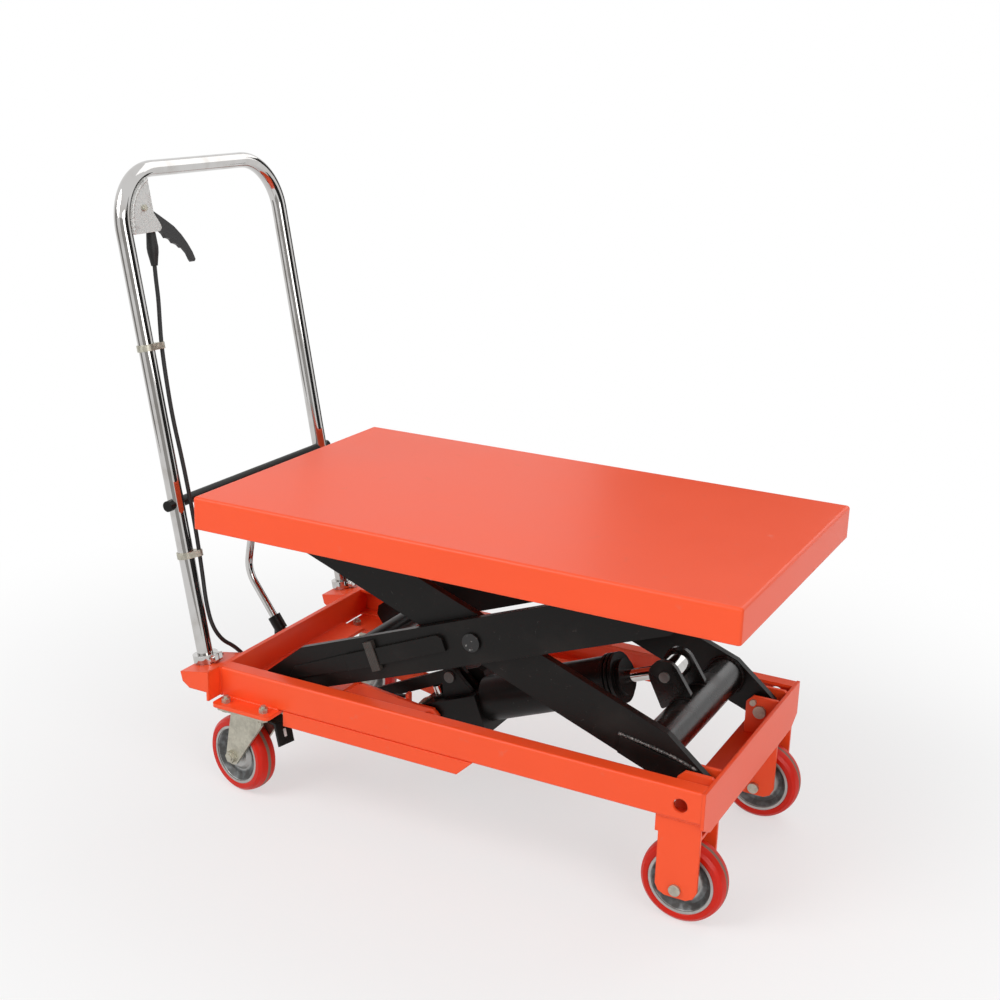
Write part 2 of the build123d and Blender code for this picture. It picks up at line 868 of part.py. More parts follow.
for name, side in sides.items():
    yaw = radians(side * swivel_yaw)
    swivel_plane = Plane(
        origin=(caster_x, side * caster_across, 0),
        x_dir=(cos(yaw), sin(yaw), 0),
        z_dir=(sin(yaw), -cos(yaw), 0),
    )

    def swivel_disc(x, height, radius, low, high, mode=Mode.ADD):
        """Add a round bar across the caster, between two places along its axle."""
        with BuildSketch(swivel_plane.offset(low)) as section:
            with Locations((x, height)):
                Circle(radius)
        extrude(section.sketch, amount=high - low, mode=mode)

    with BuildPart() as swivel_fork:
        for low in (-swivel_leg_outer, swivel_leg_inner):
            with BuildSketch(swivel_plane.offset(low)) as leg:
                with Locations((-swivel_trail, wheel_radius)):
                    Circle(swivel_leg_end)
                with Locations((
                    (swivel_leg_front - swivel_leg_rear) / 2,
                    (crown_top + swivel_leg_shoulder) / 2,
                )):
                    Rectangle(swivel_leg_front + swivel_leg_rear, crown_top - swivel_leg_shoulder)
                make_hull()
            extrude(leg.sketch, amount=swivel_leg_wall)
        with BuildSketch(Plane(
            origin=(caster_x, side * caster_across, crown_bottom),
            x_dir=swivel_plane.x_dir,
        )) as crown_face:
            Circle(race_radius + 1)
            with Locations(((swivel_leg_front - swivel_leg_rear) / 2, 0)):
                Rectangle(swivel_leg_front + swivel_leg_rear, 2 * swivel_leg_outer)
        extrude(crown_face.sketch, amount=crown_wall)
        post(
            caster_x,
            side * caster_across,
            kingpin_radius + shaft_clearance,
            crown_bottom - 1,
            crown_top + 1,
            Mode.SUBTRACT,
        )
        swivel_disc(
            -swivel_trail,
            wheel_radius,
            axle_radius + shaft_clearance,
            -swivel_leg_outer - 1,
            swivel_leg_outer + 1,
            Mode.SUBTRACT,
        )
        swivel_disc(
            pedal_pin_x,
            pedal_pin_height,
            pedal_pin_radius,
            -swivel_leg_outer - 2,
            swivel_leg_outer + 2,
        )
    with BuildPart() as swivel_axle:
        swivel_disc(-swivel_trail, wheel_radius, axle_radius, -swivel_leg_outer - 8, swivel_leg_outer + 8)
        for low in (-swivel_leg_outer - 6, swivel_leg_outer):
            with BuildSketch(swivel_plane.offset(low)) as nut:
                with Locations((-swivel_trail, wheel_radius)):
                    RegularPolygon(axle_radius + 4, 6)
            extrude(nut.sketch, amount=6)
    fork_and_axle = Compound(label=f"swivel_fork_{name}", children=[swivel_fork.part, swivel_axle.part])
    export_step(fork_and_axle, f"parts/swivel_fork_{name}.step")

    wheel_plane = Plane(
        origin=swivel_plane.from_local_coords(Vector(-swivel_trail, wheel_radius, 0)),
        x_dir=swivel_plane.z_dir,
        z_dir=swivel_plane.z_dir.cross(Vector(0, 0, 1)),
    )
    with BuildPart() as swivel_hub:
        wheel_core(wheel_plane, swivel_hub_half)
    swivel_hub.part.label = f"swivel_hub_{name}"
    export_step(swivel_hub.part, f"parts/swivel_hub_{name}.step")

    with BuildPart() as swivel_tyre:
        wheel_tyre(wheel_plane)
    swivel_tyre.part.label = f"swivel_tyre_{name}"
    export_step(swivel_tyre.part, f"parts/swivel_tyre_{name}.step")

    with BuildPart() as brake_pedal:
        with BuildSketch(swivel_plane.offset(-pedal_half_width)) as pedal_face:
            with BuildLine():
                Polyline(*pedal_outline, close=True)
            make_face()
        extrude(pedal_face.sketch, amount=2 * pedal_half_width)
        hub_end = swivel_leg_inner - side_clearance
        swivel_disc(pedal_pin_x, pedal_pin_height, pedal_hub_radius, -hub_end, hub_end)
        swivel_disc(
            pedal_pin_x,
            pedal_pin_height,
            pedal_pin_radius + shaft_clearance,
            -hub_end - 1,
            hub_end + 1,
            Mode.SUBTRACT,
        )
    brake_pedal.part.label = f"brake_pedal_{name}"
    export_step(brake_pedal.part, f"parts/brake_pedal_{name}.step")

# ------------------------------------------------------------------ scissor arms
rest_cos = cos(radians(rest_angle))
rest_sin = sin(radians(rest_angle))
arm_pin_radius = arm_pin_diameter / 2
stub_radius = 8


def inner_plane(across):
    """Plane of an inner arm: x runs up the arm from the frame's pivot, y is above it."""
    return Plane(origin=(pivot_x, across, pivot_height), x_dir=(-rest_cos, 0, rest_sin), z_dir=(0, 1, 0))


def outer_plane(across):
    """Plane of an outer arm: x runs up the arm from its roller, y is above it."""
    return Plane(origin=(roller_x, across, pivot_height), x_dir=(rest_cos, 0, rest_sin), z_dir=(0, -1, 0))


def arm_plate(plane_at, outline, side, inner, outer, mode=Mode.ADD):
    """Add a plate parallel to the arms between two distances from the table's middle."""
    low, high = sorted((side * inner, side * outer))
    plane = plane_at(low)
    with BuildSketch(plane) as profile:
        with BuildLine():
            Polyline(*outline, close=True)
        make_face()
    extrude(profile.sketch, amount=plane.z_dir.Y * (high - low), mode=mode)


def arm_rod(plane_at, along, above, radius, side, inner, outer, mode=Mode.ADD):
    """Add a round bar across the arms between two distances from the table's middle."""
    low, high = sorted((side * inner, side * outer))
    plane = plane_at(low)
    with BuildSketch(plane) as section:
        with Locations((along, above)):
            Circle(radius)
    extrude(section.sketch, amount=plane.z_dir.Y * (high - low), mode=mode)


arm_high_edge = arm_offset + arm_width / 2
arm_low_edge = arm_offset - arm_width / 2
arm_end = [(20, arm_low_edge), (2, -17), (-13, -10), (-17, 8), (-9, 22), (70, arm_high_edge)]
arm_outline = [*arm_end, *[(arm_length - along, -above) for along, above in arm_end]]
doubler_wall = 3.5
doubler_outline = [(125, 3), (10, 23), (-9, 20), (-14, 6), (-11, -9), (2, -16), (20, -19), (118, -23)]

# Upright ears on the front member's flange hold the inner arms' pins.
ear_wall = 6
outer_ear = inner_arm_outer + 8
inner_ear = inner_arm_inner - 8 - ear_wall
ear_level = front_web_bottom + rail_wall
keeper_along = -11
keeper_up = 12
keeper_radius = 5
with BuildPart() as pivot_ears:
    for side in sides.values():
        for near_face, top in ((outer_ear, rail_top + 1), (inner_ear, rail_top - 3)):
            outline = [
                (frame_front - 58, ear_level),
                (fork_front, ear_level),
                (fork_front, top - 4),
                (fork_front - 4, top),
                (frame_front - 48, top),
                (frame_front - 58, top - 10),
            ]
            stand_side(outline, side, near_face, near_face + ear_wall)
        cross_rod_side(
            pivot_x,
            pivot_height,
            arm_pin_radius + shaft_clearance,
            side,
            inner_ear - 1,
            outer_ear + ear_wall + 1,
            Mode.SUBTRACT,
        )
pivot_ears.part.label = "pivot_ears"
export_step(pivot_ears.part, "parts/pivot_ears.step")

with BuildPart() as base_pins:
    for side in sides.values():
        cross_rod_side(pivot_x, pivot_height, arm_pin_radius, side, inner_ear - 5, outer_ear + ear_wall + 4)
        cross_rod_side(
            pivot_x,
            pivot_height,
            arm_pin_radius + 3,
            side,
            outer_ear + ear_wall,
            outer_ear + ear_wall + 4,
        )
        cross_rod_side(
            pivot_x + keeper_along,
            pivot_height + keeper_up + 2,
            keeper_radius,
            side,
            inner_ear - 6,
            inner_ear,
        )
        # The fixed wheels' axles.
        cross_rod_side(fixed_axle_x, wheel_radius, axle_radius, side, fork_inner - 6, fork_outer + 4)
        cross_rod_side(fixed_axle_x, wheel_radius, axle_radius + 2.5, side, fork_outer, fork_outer + 4)
        cross_rod_side(fixed_axle_x, wheel_radius, axle_radius + 2.5, side, fork_inner - 6, fork_inner)
    # The release lever's pin.
    extrude(lever_pin_section(lever_pin_radius, -cheek_half - 3), amount=2 * cheek_half + 6)
    extrude(lever_pin_section(5, cheek_half), amount=2.5)
    extrude(lever_pin_section(5, -cheek_half - 2.5), amount=2.5)
base_pins.part.label = "base_pins"
export_step(base_pins.part, "parts/base_pins.step")

table_roller_width = 17.5
table_roller_outer = inner_arm_inner - 4
table_roller_inner = table_roller_outer - table_roller_width
roller_stub_end = table_roller_inner - 1
arm_middle = arm_length / 2
for name, side in sides.items():
    with BuildPart() as inner_arm:
        arm_plate(inner_plane, arm_outline, side, inner_arm_inner, inner_arm_outer)
        arm_plate(inner_plane, doubler_outline, side, inner_arm_outer, inner_arm_outer + doubler_wall)
        arm_rod(
            inner_plane,
            arm_length,
            0,
            arm_pin_radius,
            side,
            table_roller_outer + side_clearance,
            inner_arm_inner,
        )
        arm_rod(inner_plane, arm_length, 0, stub_radius, side, roller_stub_end, inner_arm_inner)
        for along in (0, arm_middle):
            arm_rod(
                inner_plane,
                along,
                0,
                arm_pin_radius + shaft_clearance,
                side,
                inner_arm_inner - 1,
                outer_arm_outer,
                Mode.SUBTRACT,
            )
    inner_arm.part.label = f"inner_arm_{name}"
    export_step(inner_arm.part, f"parts/inner_arm_{name}.step")

    with BuildPart() as outer_arm:
        arm_plate(outer_plane, arm_outline, side, outer_arm_inner, outer_arm_outer)
        arm_rod(
            outer_plane,
            0,
            0,
            arm_pin_radius + 3,
            side,
            outer_arm_outer,
            base_roller_inner - side_clearance,
        )
        arm_rod(
            outer_plane,
            0,
            0,
            stub_radius,
            side,
            outer_arm_outer,
            base_roller_inner + base_roller_width + 1,
        )
        for along in (arm_middle, arm_length):
            arm_rod(
                outer_plane,
                along,
                0,
                arm_pin_radius + shaft_clearance,
                side,
                outer_arm_inner - 1,
                outer_arm_outer + 1,
                Mode.SUBTRACT,
            )
    outer_arm.part.label = f"outer_arm_{name}"
    export_step(outer_arm.part, f"parts/outer_arm_{name}.step")

    base_roller_radius = pivot_height - rail_bottom - rail_wall - roller_clearance
    with BuildPart() as base_roller:
        ends = (base_roller_inner, base_roller_inner + base_roller_width)
        arm_rod(outer_plane, 0, 0, base_roller_radius, side, *ends)
        arm_rod(outer_plane, 0, 0, stub_radius + shaft_clearance, side, *ends, Mode.SUBTRACT)
        chamfer(base_roller.edges().filter_by(GeomType.CIRCLE), 1)
    base_roller.part.label = f"base_roller_{name}"
    export_step(base_roller.part, f"parts/base_roller_{name}.step")

# The torsion tube joins the inner arms and carries the cylinder's clevis.
torsion_along = 75
torsion_above = 12.5
torsion_radius = 29
torsion_wall = 5
clevis_along = 129
clevis_above = 50
clevis_pin_radius = 8
clevis_nose = 24
lug_inner = 25
lug_outer = 33
with BuildPart() as torsion_tube:
    arm_rod(inner_plane, torsion_along, torsion_above, torsion_radius, 1, -inner_arm_inner, inner_arm_inner)
    for side in sides.values():
        low, high = sorted((side * lug_inner, side * lug_outer))
        with BuildSketch(inner_plane(low)) as lug:
            with Locations((clevis_along + 1, clevis_above)):
                Circle(clevis_nose)
            with Locations((torsion_along + 11, torsion_above + 34), (torsion_along + 36, torsion_above - 6)):
                Circle(3)
            make_hull()
        extrude(lug.sketch, amount=high - low)
    arm_rod(
        inner_plane,
        torsion_along,
        torsion_above,
        torsion_radius - torsion_wall,
        1,
        -inner_arm_inner,
        inner_arm_inner,
        Mode.SUBTRACT,
    )
    arm_rod(
        inner_plane,
        clevis_along,
        clevis_above,
        clevis_pin_radius + shaft_clearance,
        1,
        -lug_outer - 1,
        lug_outer + 1,
        Mode.SUBTRACT,
    )
torsion_tube.part.label = "torsion_tube"
export_step(torsion_tube.part, "parts/torsion_tube.step")

# A tube joins the outer arms near their rollers, under the inner arms.
cross_tube_along = 110
cross_tube_above = 5
cross_tube_radius = 16
cross_tube_wall = 3
with BuildPart() as outer_cross_tube:
    tube_end = outer_arm_inner
    arm_rod(outer_plane, cross_tube_along, cross_tube_above, cross_tube_radius, 1, -tube_end, tube_end)
    arm_rod(
        outer_plane,
        cross_tube_along,
        cross_tube_above,
        cross_tube_radius - cross_tube_wall,
        1,
        -tube_end,
        tube_end,
        Mode.SUBTRACT,
    )
outer_cross_tube.part.label = "outer_cross_tube"
export_step(outer_cross_tube.part, "parts/outer_cross_tube.step")

# Each pair of arms turns on a pin at its middle, with a spacer between the arms.
# The cylinder's rod turns on the pin in the clevis.
pin_head = 4
with BuildPart() as arm_pins:
    for side in sides.values():
        arm_rod(
            inner_plane,
            arm_middle,
            0,
            arm_pin_radius + 4,
            side,
            inner_arm_inner - pin_head,
            inner_arm_inner,
        )
        head_face = outer_arm_outer + side_clearance
        arm_rod(inner_plane, arm_middle, 0, arm_pin_radius, side, inner_arm_inner - pin_head, head_face)
        arm_rod(inner_plane, arm_middle, 0, arm_pin_radius + 4, side, head_face, head_face + pin_head)
        arm_rod(
            inner_plane,
            arm_middle,
            0,
            arm_pin_radius + 8,
            side,
            inner_arm_outer,
            outer_arm_inner - side_clearance,
        )
    arm_rod(inner_plane, clevis_along, clevis_above, clevis_pin_radius, 1, -lug_outer - 3, lug_outer + 3)
    arm_rod(inner_plane, clevis_along, clevis_above, clevis_pin_radius + 3, 1, lug_outer, lug_outer + 3)
arm_pins.part.label = "arm_pins"
export_step(arm_pins.part, "parts/arm_pins.step")

# A flat prop bar is stowed along the near outer arm, under a strap.
strap_low = 193
strap_high = 208
strap_wall = 2.5
prop_wall = 6
prop_outline = [(150, -4), (330, -4), (330, 16), (322, 22), (150, 22)]
with BuildPart() as prop_bar:
    arm_plate(outer_plane, prop_outline, -1, outer_arm_outer, outer_arm_outer + prop_wall)
prop_bar.part.label = "prop_bar"
export_step(prop_bar.part, "parts/prop_bar.step")

strap_face = outer_arm_outer + prop_wall
with BuildPart() as prop_strap:
    strap = [(strap_low, -12), (strap_high, -12), (strap_high, 34), (strap_low, 34)]
    arm_plate(outer_plane, strap, -1, outer_arm_outer, strap_face + strap_wall)
    strap_gap = [(strap_low - 1, -4), (strap_high + 1, -4), (strap_high + 1, 22), (strap_low - 1, 22)]
    arm_plate(outer_plane, strap_gap, -1, outer_arm_outer - 1, strap_face, Mode.SUBTRACT)
prop_strap.part.label = "prop_strap"
export_step(prop_strap.part, "parts/prop_strap.step")

# ------------------------------------------------------------------ table
table_underside = rest_height - table_wall
channel_wall = 2.5
channel_inner_height = 33
channel_top = table_underside
channel_bottom = channel_top - channel_inner_height - 2 * channel_wall
channel_outer = table_roller_outer + 2
channel_inner = table_roller_inner - 4 - channel_wall
table_roller_radius = channel_top - channel_wall - table_pivot_height - roller_clearance
channel_rear = pivot_x - lowered_span - 24
channel_front = pivot_x - arm_length * cos(radians(raised_angle)) + 22
skirt_bottom = rest_height - table_depth

for name, side in sides.items():
    with BuildPart() as table_roller:
        ends = (table_roller_inner, table_roller_outer)
        arm_rod(inner_plane, arm_length, 0, table_roller_radius, side, *ends)
        arm_rod(inner_plane, arm_length, 0, stub_radius + shaft_clearance, side, *ends, Mode.SUBTRACT)
        chamfer(table_roller.edges().filter_by(GeomType.CIRCLE), 1)
    table_roller.part.label = f"table_roller_{name}"
    export_step(table_roller.part, f"parts/table_roller_{name}.step")

with BuildPart() as table_top:
    with BuildSketch(Plane.XY.offset(skirt_bottom)):
        with Locations((table_middle, 0)):
            Rectangle(table_length, table_width)
    extrude(amount=table_depth)
    fillet(table_top.edges().filter_by(Axis.Z), table_edge_radius)
    fillet(table_top.faces().sort_by(Axis.Z)[-1].edges(), table_edge_radius)
    with BuildSketch(Plane.XY.offset(skirt_bottom)):
        with Locations((table_middle, 0)):
            RectangleRounded(
                table_length - 2 * table_wall,
                table_width - 2 * table_wall,
                table_edge_radius - table_wall,
            )
    extrude(amount=table_depth - table_wall, mode=Mode.SUBTRACT)
table_top.part.label = "table_top"
export_step(table_top.part, "parts/table_top.step")

# Under the table: a channel for each inner arm's roller, and ears for the outer arms.
table_ear_half = 25
table_ear_radius = 16
table_ear_wall = 4
table_ear_gap = 2
with BuildPart() as table_mounts:
    for side in sides.values():
        stand_side(
            box_outline(channel_rear, channel_front, channel_bottom, channel_top),
            side,
            channel_inner,
            channel_outer,
        )
        channel_space = box_outline(
            channel_rear - 1,
            channel_front + 1,
            channel_bottom + channel_wall,
            channel_top - channel_wall,
        )
        stand_side(channel_space, side, channel_inner + channel_wall, channel_outer + 1, mode=Mode.SUBTRACT)
        for face in (outer_arm_inner - table_ear_gap - table_ear_wall, outer_arm_outer + table_ear_gap):
            low, high = sorted((side * face, side * (face + table_ear_wall)))
            with BuildSketch(Plane.XZ.offset(-low)) as ear:
                with Locations((pivot_x, table_pivot_height)):
                    Circle(table_ear_radius)
                with Locations((pivot_x, table_underside - 1)):
                    Rectangle(2 * table_ear_half, 2)
                make_hull()
            extrude(ear.sketch, amount=-(high - low))
        cross_rod_side(
            pivot_x,
            table_pivot_height,
            arm_pin_radius + shaft_clearance,
            side,
            outer_arm_inner - table_ear_gap - table_ear_wall - 1,
            outer_arm_outer + table_ear_gap + table_ear_wall + 1,
            Mode.SUBTRACT,
        )
table_mounts.part.label = "table_mounts"
export_step(table_mounts.part, "parts/table_mounts.step")

with BuildPart() as table_pins:
    for side in sides.values():
        ear_faces = (outer_arm_inner - 6, outer_arm_outer + 6)
        cross_rod_side(pivot_x, table_pivot_height, arm_pin_radius, side, ear_faces[0] - 3, ear_faces[1] + 3)
        cross_rod_side(pivot_x, table_pivot_height, arm_pin_radius + 3, side, ear_faces[1], ear_faces[1] + 3)
table_pins.part.label = "table_pins"
export_step(table_pins.part, "parts/table_pins.step")

# ------------------------------------------------------------------ foot pump and cylinder
pump_pivot_x = pivot_x - 481
pump_pivot_height = rail_bottom - 33
clevis_x = pivot_x - clevis_along * rest_cos + clevis_above * rest_sin
clevis_height = pivot_height + clevis_along * rest_sin + clevis_above * rest_cos
cylinder_length = hypot(clevis_x - pump_pivot_x, clevis_height - pump_pivot_height)
cylinder_angle = atan2(clevis_height - pump_pivot_height, clevis_x - pump_pivot_x)  # radians
cylinder_axis = (cos(cylinder_angle), 0, sin(cylinder_angle))


def cylinder_plane(across):
    """Plane along the cylinder: x runs from the pump to the clevis, y is above the axis."""
    return Plane(origin=(pump_pivot_x, across, pump_pivot_height), x_dir=cylinder_axis, z_dir=(0, -1, 0))


def axial_bar(radius, low, high, mode=Mode.ADD):
    """Add a round bar on the cylinder's axis, between two distances from the pump's pivot."""
    start = (pump_pivot_x + low * cylinder_axis[0], 0, pump_pivot_height + low * cylinder_axis[2])
    with BuildSketch(Plane(origin=start, x_dir=(0, 1, 0), z_dir=cylinder_axis)) as section:
        Circle(radius)
    extrude(section.sketch, amount=high - low, mode=mode)


def pump_plate(outline, low, high, mode=Mode.ADD):
    """Add a plate in the cylinder's own frame, between two places along Y."""
    with BuildSketch(cylinder_plane(low)) as profile:
        with BuildLine():
            Polyline(*outline, close=True)
        make_face()
    extrude(profile.sketch, amount=-(high - low), mode=mode)


def pump_rod(along, above, radius, low, high, mode=Mode.ADD):
    """Add a round bar across the pump, between two places along Y."""
    with BuildSketch(cylinder_plane(low)) as section:
        with Locations((along, above)):
            Circle(radius)
    extrude(section.sketch, amount=-(high - low), mode=mode)


def pump_post(along, across, radius, low, high, mode=Mode.ADD):
    """Add a round bar square to the cylinder's axis and to Y, between two heights above it."""
    origin = cylinder_plane(across).from_local_coords(Vector(along, low, 0))
    with BuildSketch(Plane(origin=origin, x_dir=(0, 1, 0), z_dir=cylinder_plane(0).y_dir)) as section:
        Circle(radius)
    extrude(section.sketch, amount=high - low, mode=mode)


block_rear = -25
block_front = 88
block_bottom = -46
block_top = 20
block_half = 44
barrel_front = 306
gland_front = 334
cylinder_radius = cylinder_diameter / 2
bore_radius = 28
rod_radius = rod_diameter / 2
piston_rear = 272  # behind the clevis pin
piston_length = 20

fulcrum_along = 43
fulcrum_above = 52
fulcrum_radius = 7
plunger_along = 7
plunger_across = -12
plunger_radius = 9
lever_plate_half = 4
lever_plate_width = 20
valve_along = -16
valve_across = -21
valve_radius = 5

with BuildPart() as pump_block:
    block = [
        (block_rear, block_bottom + 8),
        (block_rear + 8, block_bottom),
        (block_front, block_bottom),
        (block_front, block_top),
        (block_rear, block_top),
    ]
    pump_plate(block, -block_half, block_half)
    lug_faces = (
        (plunger_across - lever_plate_half - 2 - 8, plunger_across - lever_plate_half - 2),
        (plunger_across + lever_plate_half + 2, plunger_across + lever_plate_half + 2 + 8),
    )
    for low, high in lug_faces:
        with BuildSketch(cylinder_plane(low)) as lug:
            with Locations((fulcrum_along, fulcrum_above)):
                Circle(15)
            with Locations((fulcrum_along + 4, block_top + 1)):
                Rectangle(56, 2)
            make_hull()
        extrude(lug.sketch, amount=-(high - low))
    fulcrum_ends = (lug_faces[0][0] - 1, lug_faces[1][1] + 1)
    pump_rod(fulcrum_along, fulcrum_above, fulcrum_radius + shaft_clearance, *fulcrum_ends, Mode.SUBTRACT)
    pump_post(plunger_along, plunger_across, plunger_radius + 5, block_top, block_top + 4)
    pump_post(
        plunger_along,
        plunger_across,
        plunger_radius + shaft_clearance,
        block_top - 30,
        block_top + 5,
        Mode.SUBTRACT,
    )
    pump_post(
        valve_along,
        valve_across,
        valve_radius + shaft_clearance,
        block_top - 15,
        block_top + 1,
        Mode.SUBTRACT,
    )
pump_block.part.label = "pump_block"
export_step(pump_block.part, "parts/pump_block.step")

with BuildPart() as fulcrum_pin:
    pump_rod(fulcrum_along, fulcrum_above, fulcrum_radius, lug_faces[0][0] - 4, lug_faces[1][1] + 4)
    pump_rod(fulcrum_along, fulcrum_above, fulcrum_radius + 2, lug_faces[0][0] - 4, lug_faces[0][0])
fulcrum_pin.part.label = "fulcrum_pin"
export_step(fulcrum_pin.part, "parts/fulcrum_pin.step")

# An oil tank sits beside the lever, on the far half of the block.
tank_rear = 0
tank_front = 84
tank_height = 30
with BuildPart() as oil_tank:
    tank = [
        (tank_rear, block_top),
        (tank_front, block_top),
        (tank_front, block_top + tank_height - 8),
        (tank_front - 8, block_top + tank_height),
        (tank_rear + 8, block_top + tank_height),
        (tank_rear, block_top + tank_height - 8),
    ]
    pump_plate(tank, lug_faces[1][1] + 6, block_half)
    pump_post(
        tank_rear + 20,
        (lug_faces[1][1] + 6 + block_half) / 2,
        9,
        block_top + tank_height,
        block_top + tank_height + 5,
    )
oil_tank.part.label = "oil_tank"
export_step(oil_tank.part, "parts/oil_tank.step")

with BuildPart() as cylinder_barrel:
    axial_bar(cylinder_radius, block_front, barrel_front)
    axial_bar(bore_radius, block_front + 8, barrel_front, Mode.SUBTRACT)
cylinder_barrel.part.label = "cylinder_barrel"
export_step(cylinder_barrel.part, "parts/cylinder_barrel.step")

with BuildPart() as cylinder_gland:
    axial_bar(cylinder_radius + 3, barrel_front, gland_front - 8)
    axial_bar(cylinder_radius - 8, gland_front - 8, gland_front)
    for groove in (5, 12):
        axial_bar(cylinder_radius + 4, barrel_front + groove, barrel_front + groove + 3, Mode.SUBTRACT)
        axial_bar(cylinder_radius, barrel_front + groove - 0.5, barrel_front + groove + 3.5)
    axial_bar(rod_radius + shaft_clearance, barrel_front - 1, gland_front + 1, Mode.SUBTRACT)
cylinder_gland.part.label = "cylinder_gland"
export_step(cylinder_gland.part, "parts/cylinder_gland.step")

eye_radius = 19
eye_half = 22
with BuildPart() as piston_rod:
    axial_bar(
        bore_radius - shaft_clearance,
        cylinder_length - piston_rear,
        cylinder_length - piston_rear + piston_length,
    )
    for seal in (5, 13):
        low = cylinder_length - piston_rear + seal
        axial_bar(bore_radius, low, low + 2, Mode.SUBTRACT)
        axial_bar(bore_radius - 2, low - 0.5, low + 2.5)
    axial_bar(rod_radius, cylinder_length - piston_rear + piston_length, cylinder_length - 5)
    pump_rod(cylinder_length, 0, eye_radius, -eye_half, eye_half)
    pump_rod(
        cylinder_length,
        0,
        clevis_pin_radius + shaft_clearance,
        -eye_half - 1,
        eye_half + 1,
        Mode.SUBTRACT,
    )
piston_rod.part.label = "piston_rod"
export_step(piston_rod.part, "parts/piston_rod.step")

# Two cheeks on a bar across the frame carry the pump on stub bolts at its pivot.
mount_bar_rear = frame_rear + 114
mount_bar_front = mount_bar_rear + 38
mount_bar_wall = 6
cheek_inner = block_half + 3
cheek_plate_wall = 6
mount_bolt_radius = 9
mount_level = rail_bottom - mount_bar_wall
cheek_outline_side = [
    (mount_bar_rear, mount_level),
    (mount_bar_rear, mount_level - 16),
    (mount_bar_front, mount_level - 26),
    (pump_pivot_x - 18, pump_pivot_height - 20),
    (pump_pivot_x + 12, pump_pivot_height - 16),
    (pump_pivot_x + 17, pump_pivot_height + 6),
    (pump_pivot_x + 6, pump_pivot_height + 16),
    (pump_pivot_x - 24, pump_pivot_height + 16),
    (mount_bar_front + 10, mount_level),
]
stop_wall = 6
stop_half = 7
with BuildPart() as pump_mount:
    with BuildSketch(Plane.XY.offset(mount_level)) as bar:
        with Locations(((mount_bar_rear + mount_bar_front) / 2, 0)):
            Rectangle(mount_bar_front - mount_bar_rear, 2 * rail_inner)
    extrude(bar.sketch, amount=mount_bar_wall)
    for side in sides.values():
        stand_side(cheek_outline_side, side, cheek_inner, cheek_inner + cheek_plate_wall)
        cross_rod_side(
            pump_pivot_x,
            pump_pivot_height,
            mount_bolt_radius,
            side,
            block_half + side_clearance,
            cheek_inner + cheek_plate_wall + 4,
        )
    # The stop for the release cable's sheath stands on the near cheek.
    stop_face = pump_stop_x + 1
    cable_stop = box_outline(
        stop_face,
        stop_face + stop_wall,
        pump_pivot_height,
        pump_stop_height + stop_half,
    )
    stand_side(cable_stop, -1, -pump_stop_across - stop_half / 2, cheek_inner + 1)
pump_mount.part.label = "pump_mount"
export_step(pump_mount.part, "parts/pump_mount.step")

# ------------------------------------------------------------------ foot pedal
pedal_across = plunger_across
sleeve_x = frame_rear - 33
sleeve_height = rail_bottom + 40
sleeve_radius = 11
sleeve_below = 6
sleeve_length = 26
pedal_rod_radius = 6.5
pedal_bend_x = frame_rear - 97
pedal_bend_height = rail_bottom + 128
pedal_top_x = frame_rear - 78
pedal_top_height = rail_bottom + 253
pedal_pad_radius = 14
pedal_pad_half = 42
fulcrum = cylinder_plane(0).from_local_coords(Vector(fulcrum_along, fulcrum_above, 0))
rod_lean = atan2(sleeve_x - pedal_bend_x, pedal_bend_height - sleeve_height)  # radians
sleeve_direction = Vector(-sin(rod_lean), 0, cos(rod_lean))
sleeve_middle = Vector(sleeve_x, pedal_across, sleeve_height)
sleeve_foot = sleeve_middle - sleeve_direction * sleeve_below
knee_x = frame_rear + 152  # the lever rises from here to its fulcrum
knee_height = rail_bottom - 42
lever_line = [
    (sleeve_foot.X - 2, sleeve_foot.Z + 3),
    (sleeve_foot.X - 2, rail_bottom - 14),
    (frame_rear + 20, knee_height + 1),
    (knee_x, knee_height),
    (fulcrum.X, fulcrum.Z),
]
with BuildPart() as pedal_lever:
    with BuildSketch(Plane.XZ.offset(-(pedal_across - lever_plate_half))) as lever_face:
        with BuildLine():
            FilletPolyline(*lever_line, radius=24)
        trace(line_width=lever_plate_width)
        with Locations((fulcrum.X, fulcrum.Z)):
            Circle(lever_plate_width / 2 + 1)
    extrude(lever_face.sketch, amount=-2 * lever_plate_half)
    with BuildSketch(Plane(origin=sleeve_foot, x_dir=(0, 1, 0), z_dir=sleeve_direction)) as sleeve:
        Circle(sleeve_radius)
    extrude(sleeve.sketch, amount=sleeve_length)
    with BuildSketch(Plane(
        origin=sleeve_foot,
        x_dir=(0, 1, 0),
        z_dir=sleeve_direction,
    ).offset(6)) as sleeve_bore:
        Circle(pedal_rod_radius + shaft_clearance)
    extrude(sleeve_bore.sketch, amount=sleeve_length, mode=Mode.SUBTRACT)
    pump_rod(
        fulcrum_along,
        fulcrum_above,
        fulcrum_radius + shaft_clearance,
        pedal_across - lever_plate_half - 1,
        pedal_across + lever_plate_half + 1,
        Mode.SUBTRACT,
    )
pedal_lever.part.label = "pedal_lever"
export_step(pedal_lever.part, "parts/pedal_lever.step")

with BuildPart() as pedal_rod:
    rod_start = sleeve_foot + sleeve_direction * 6
    with BuildLine() as rod_line:
        FilletPolyline(
            rod_start,
            (pedal_bend_x, pedal_across, pedal_bend_height),
            (pedal_top_x, pedal_across, pedal_top_height),
            radius=60,
        )
    with BuildSketch(Plane(origin=rod_start, z_dir=sleeve_direction)):
        Circle(pedal_rod_radius)
    sweep(path=rod_line.line)
pedal_rod.part.label = "pedal_rod"
export_step(pedal_rod.part, "parts/pedal_rod.step")

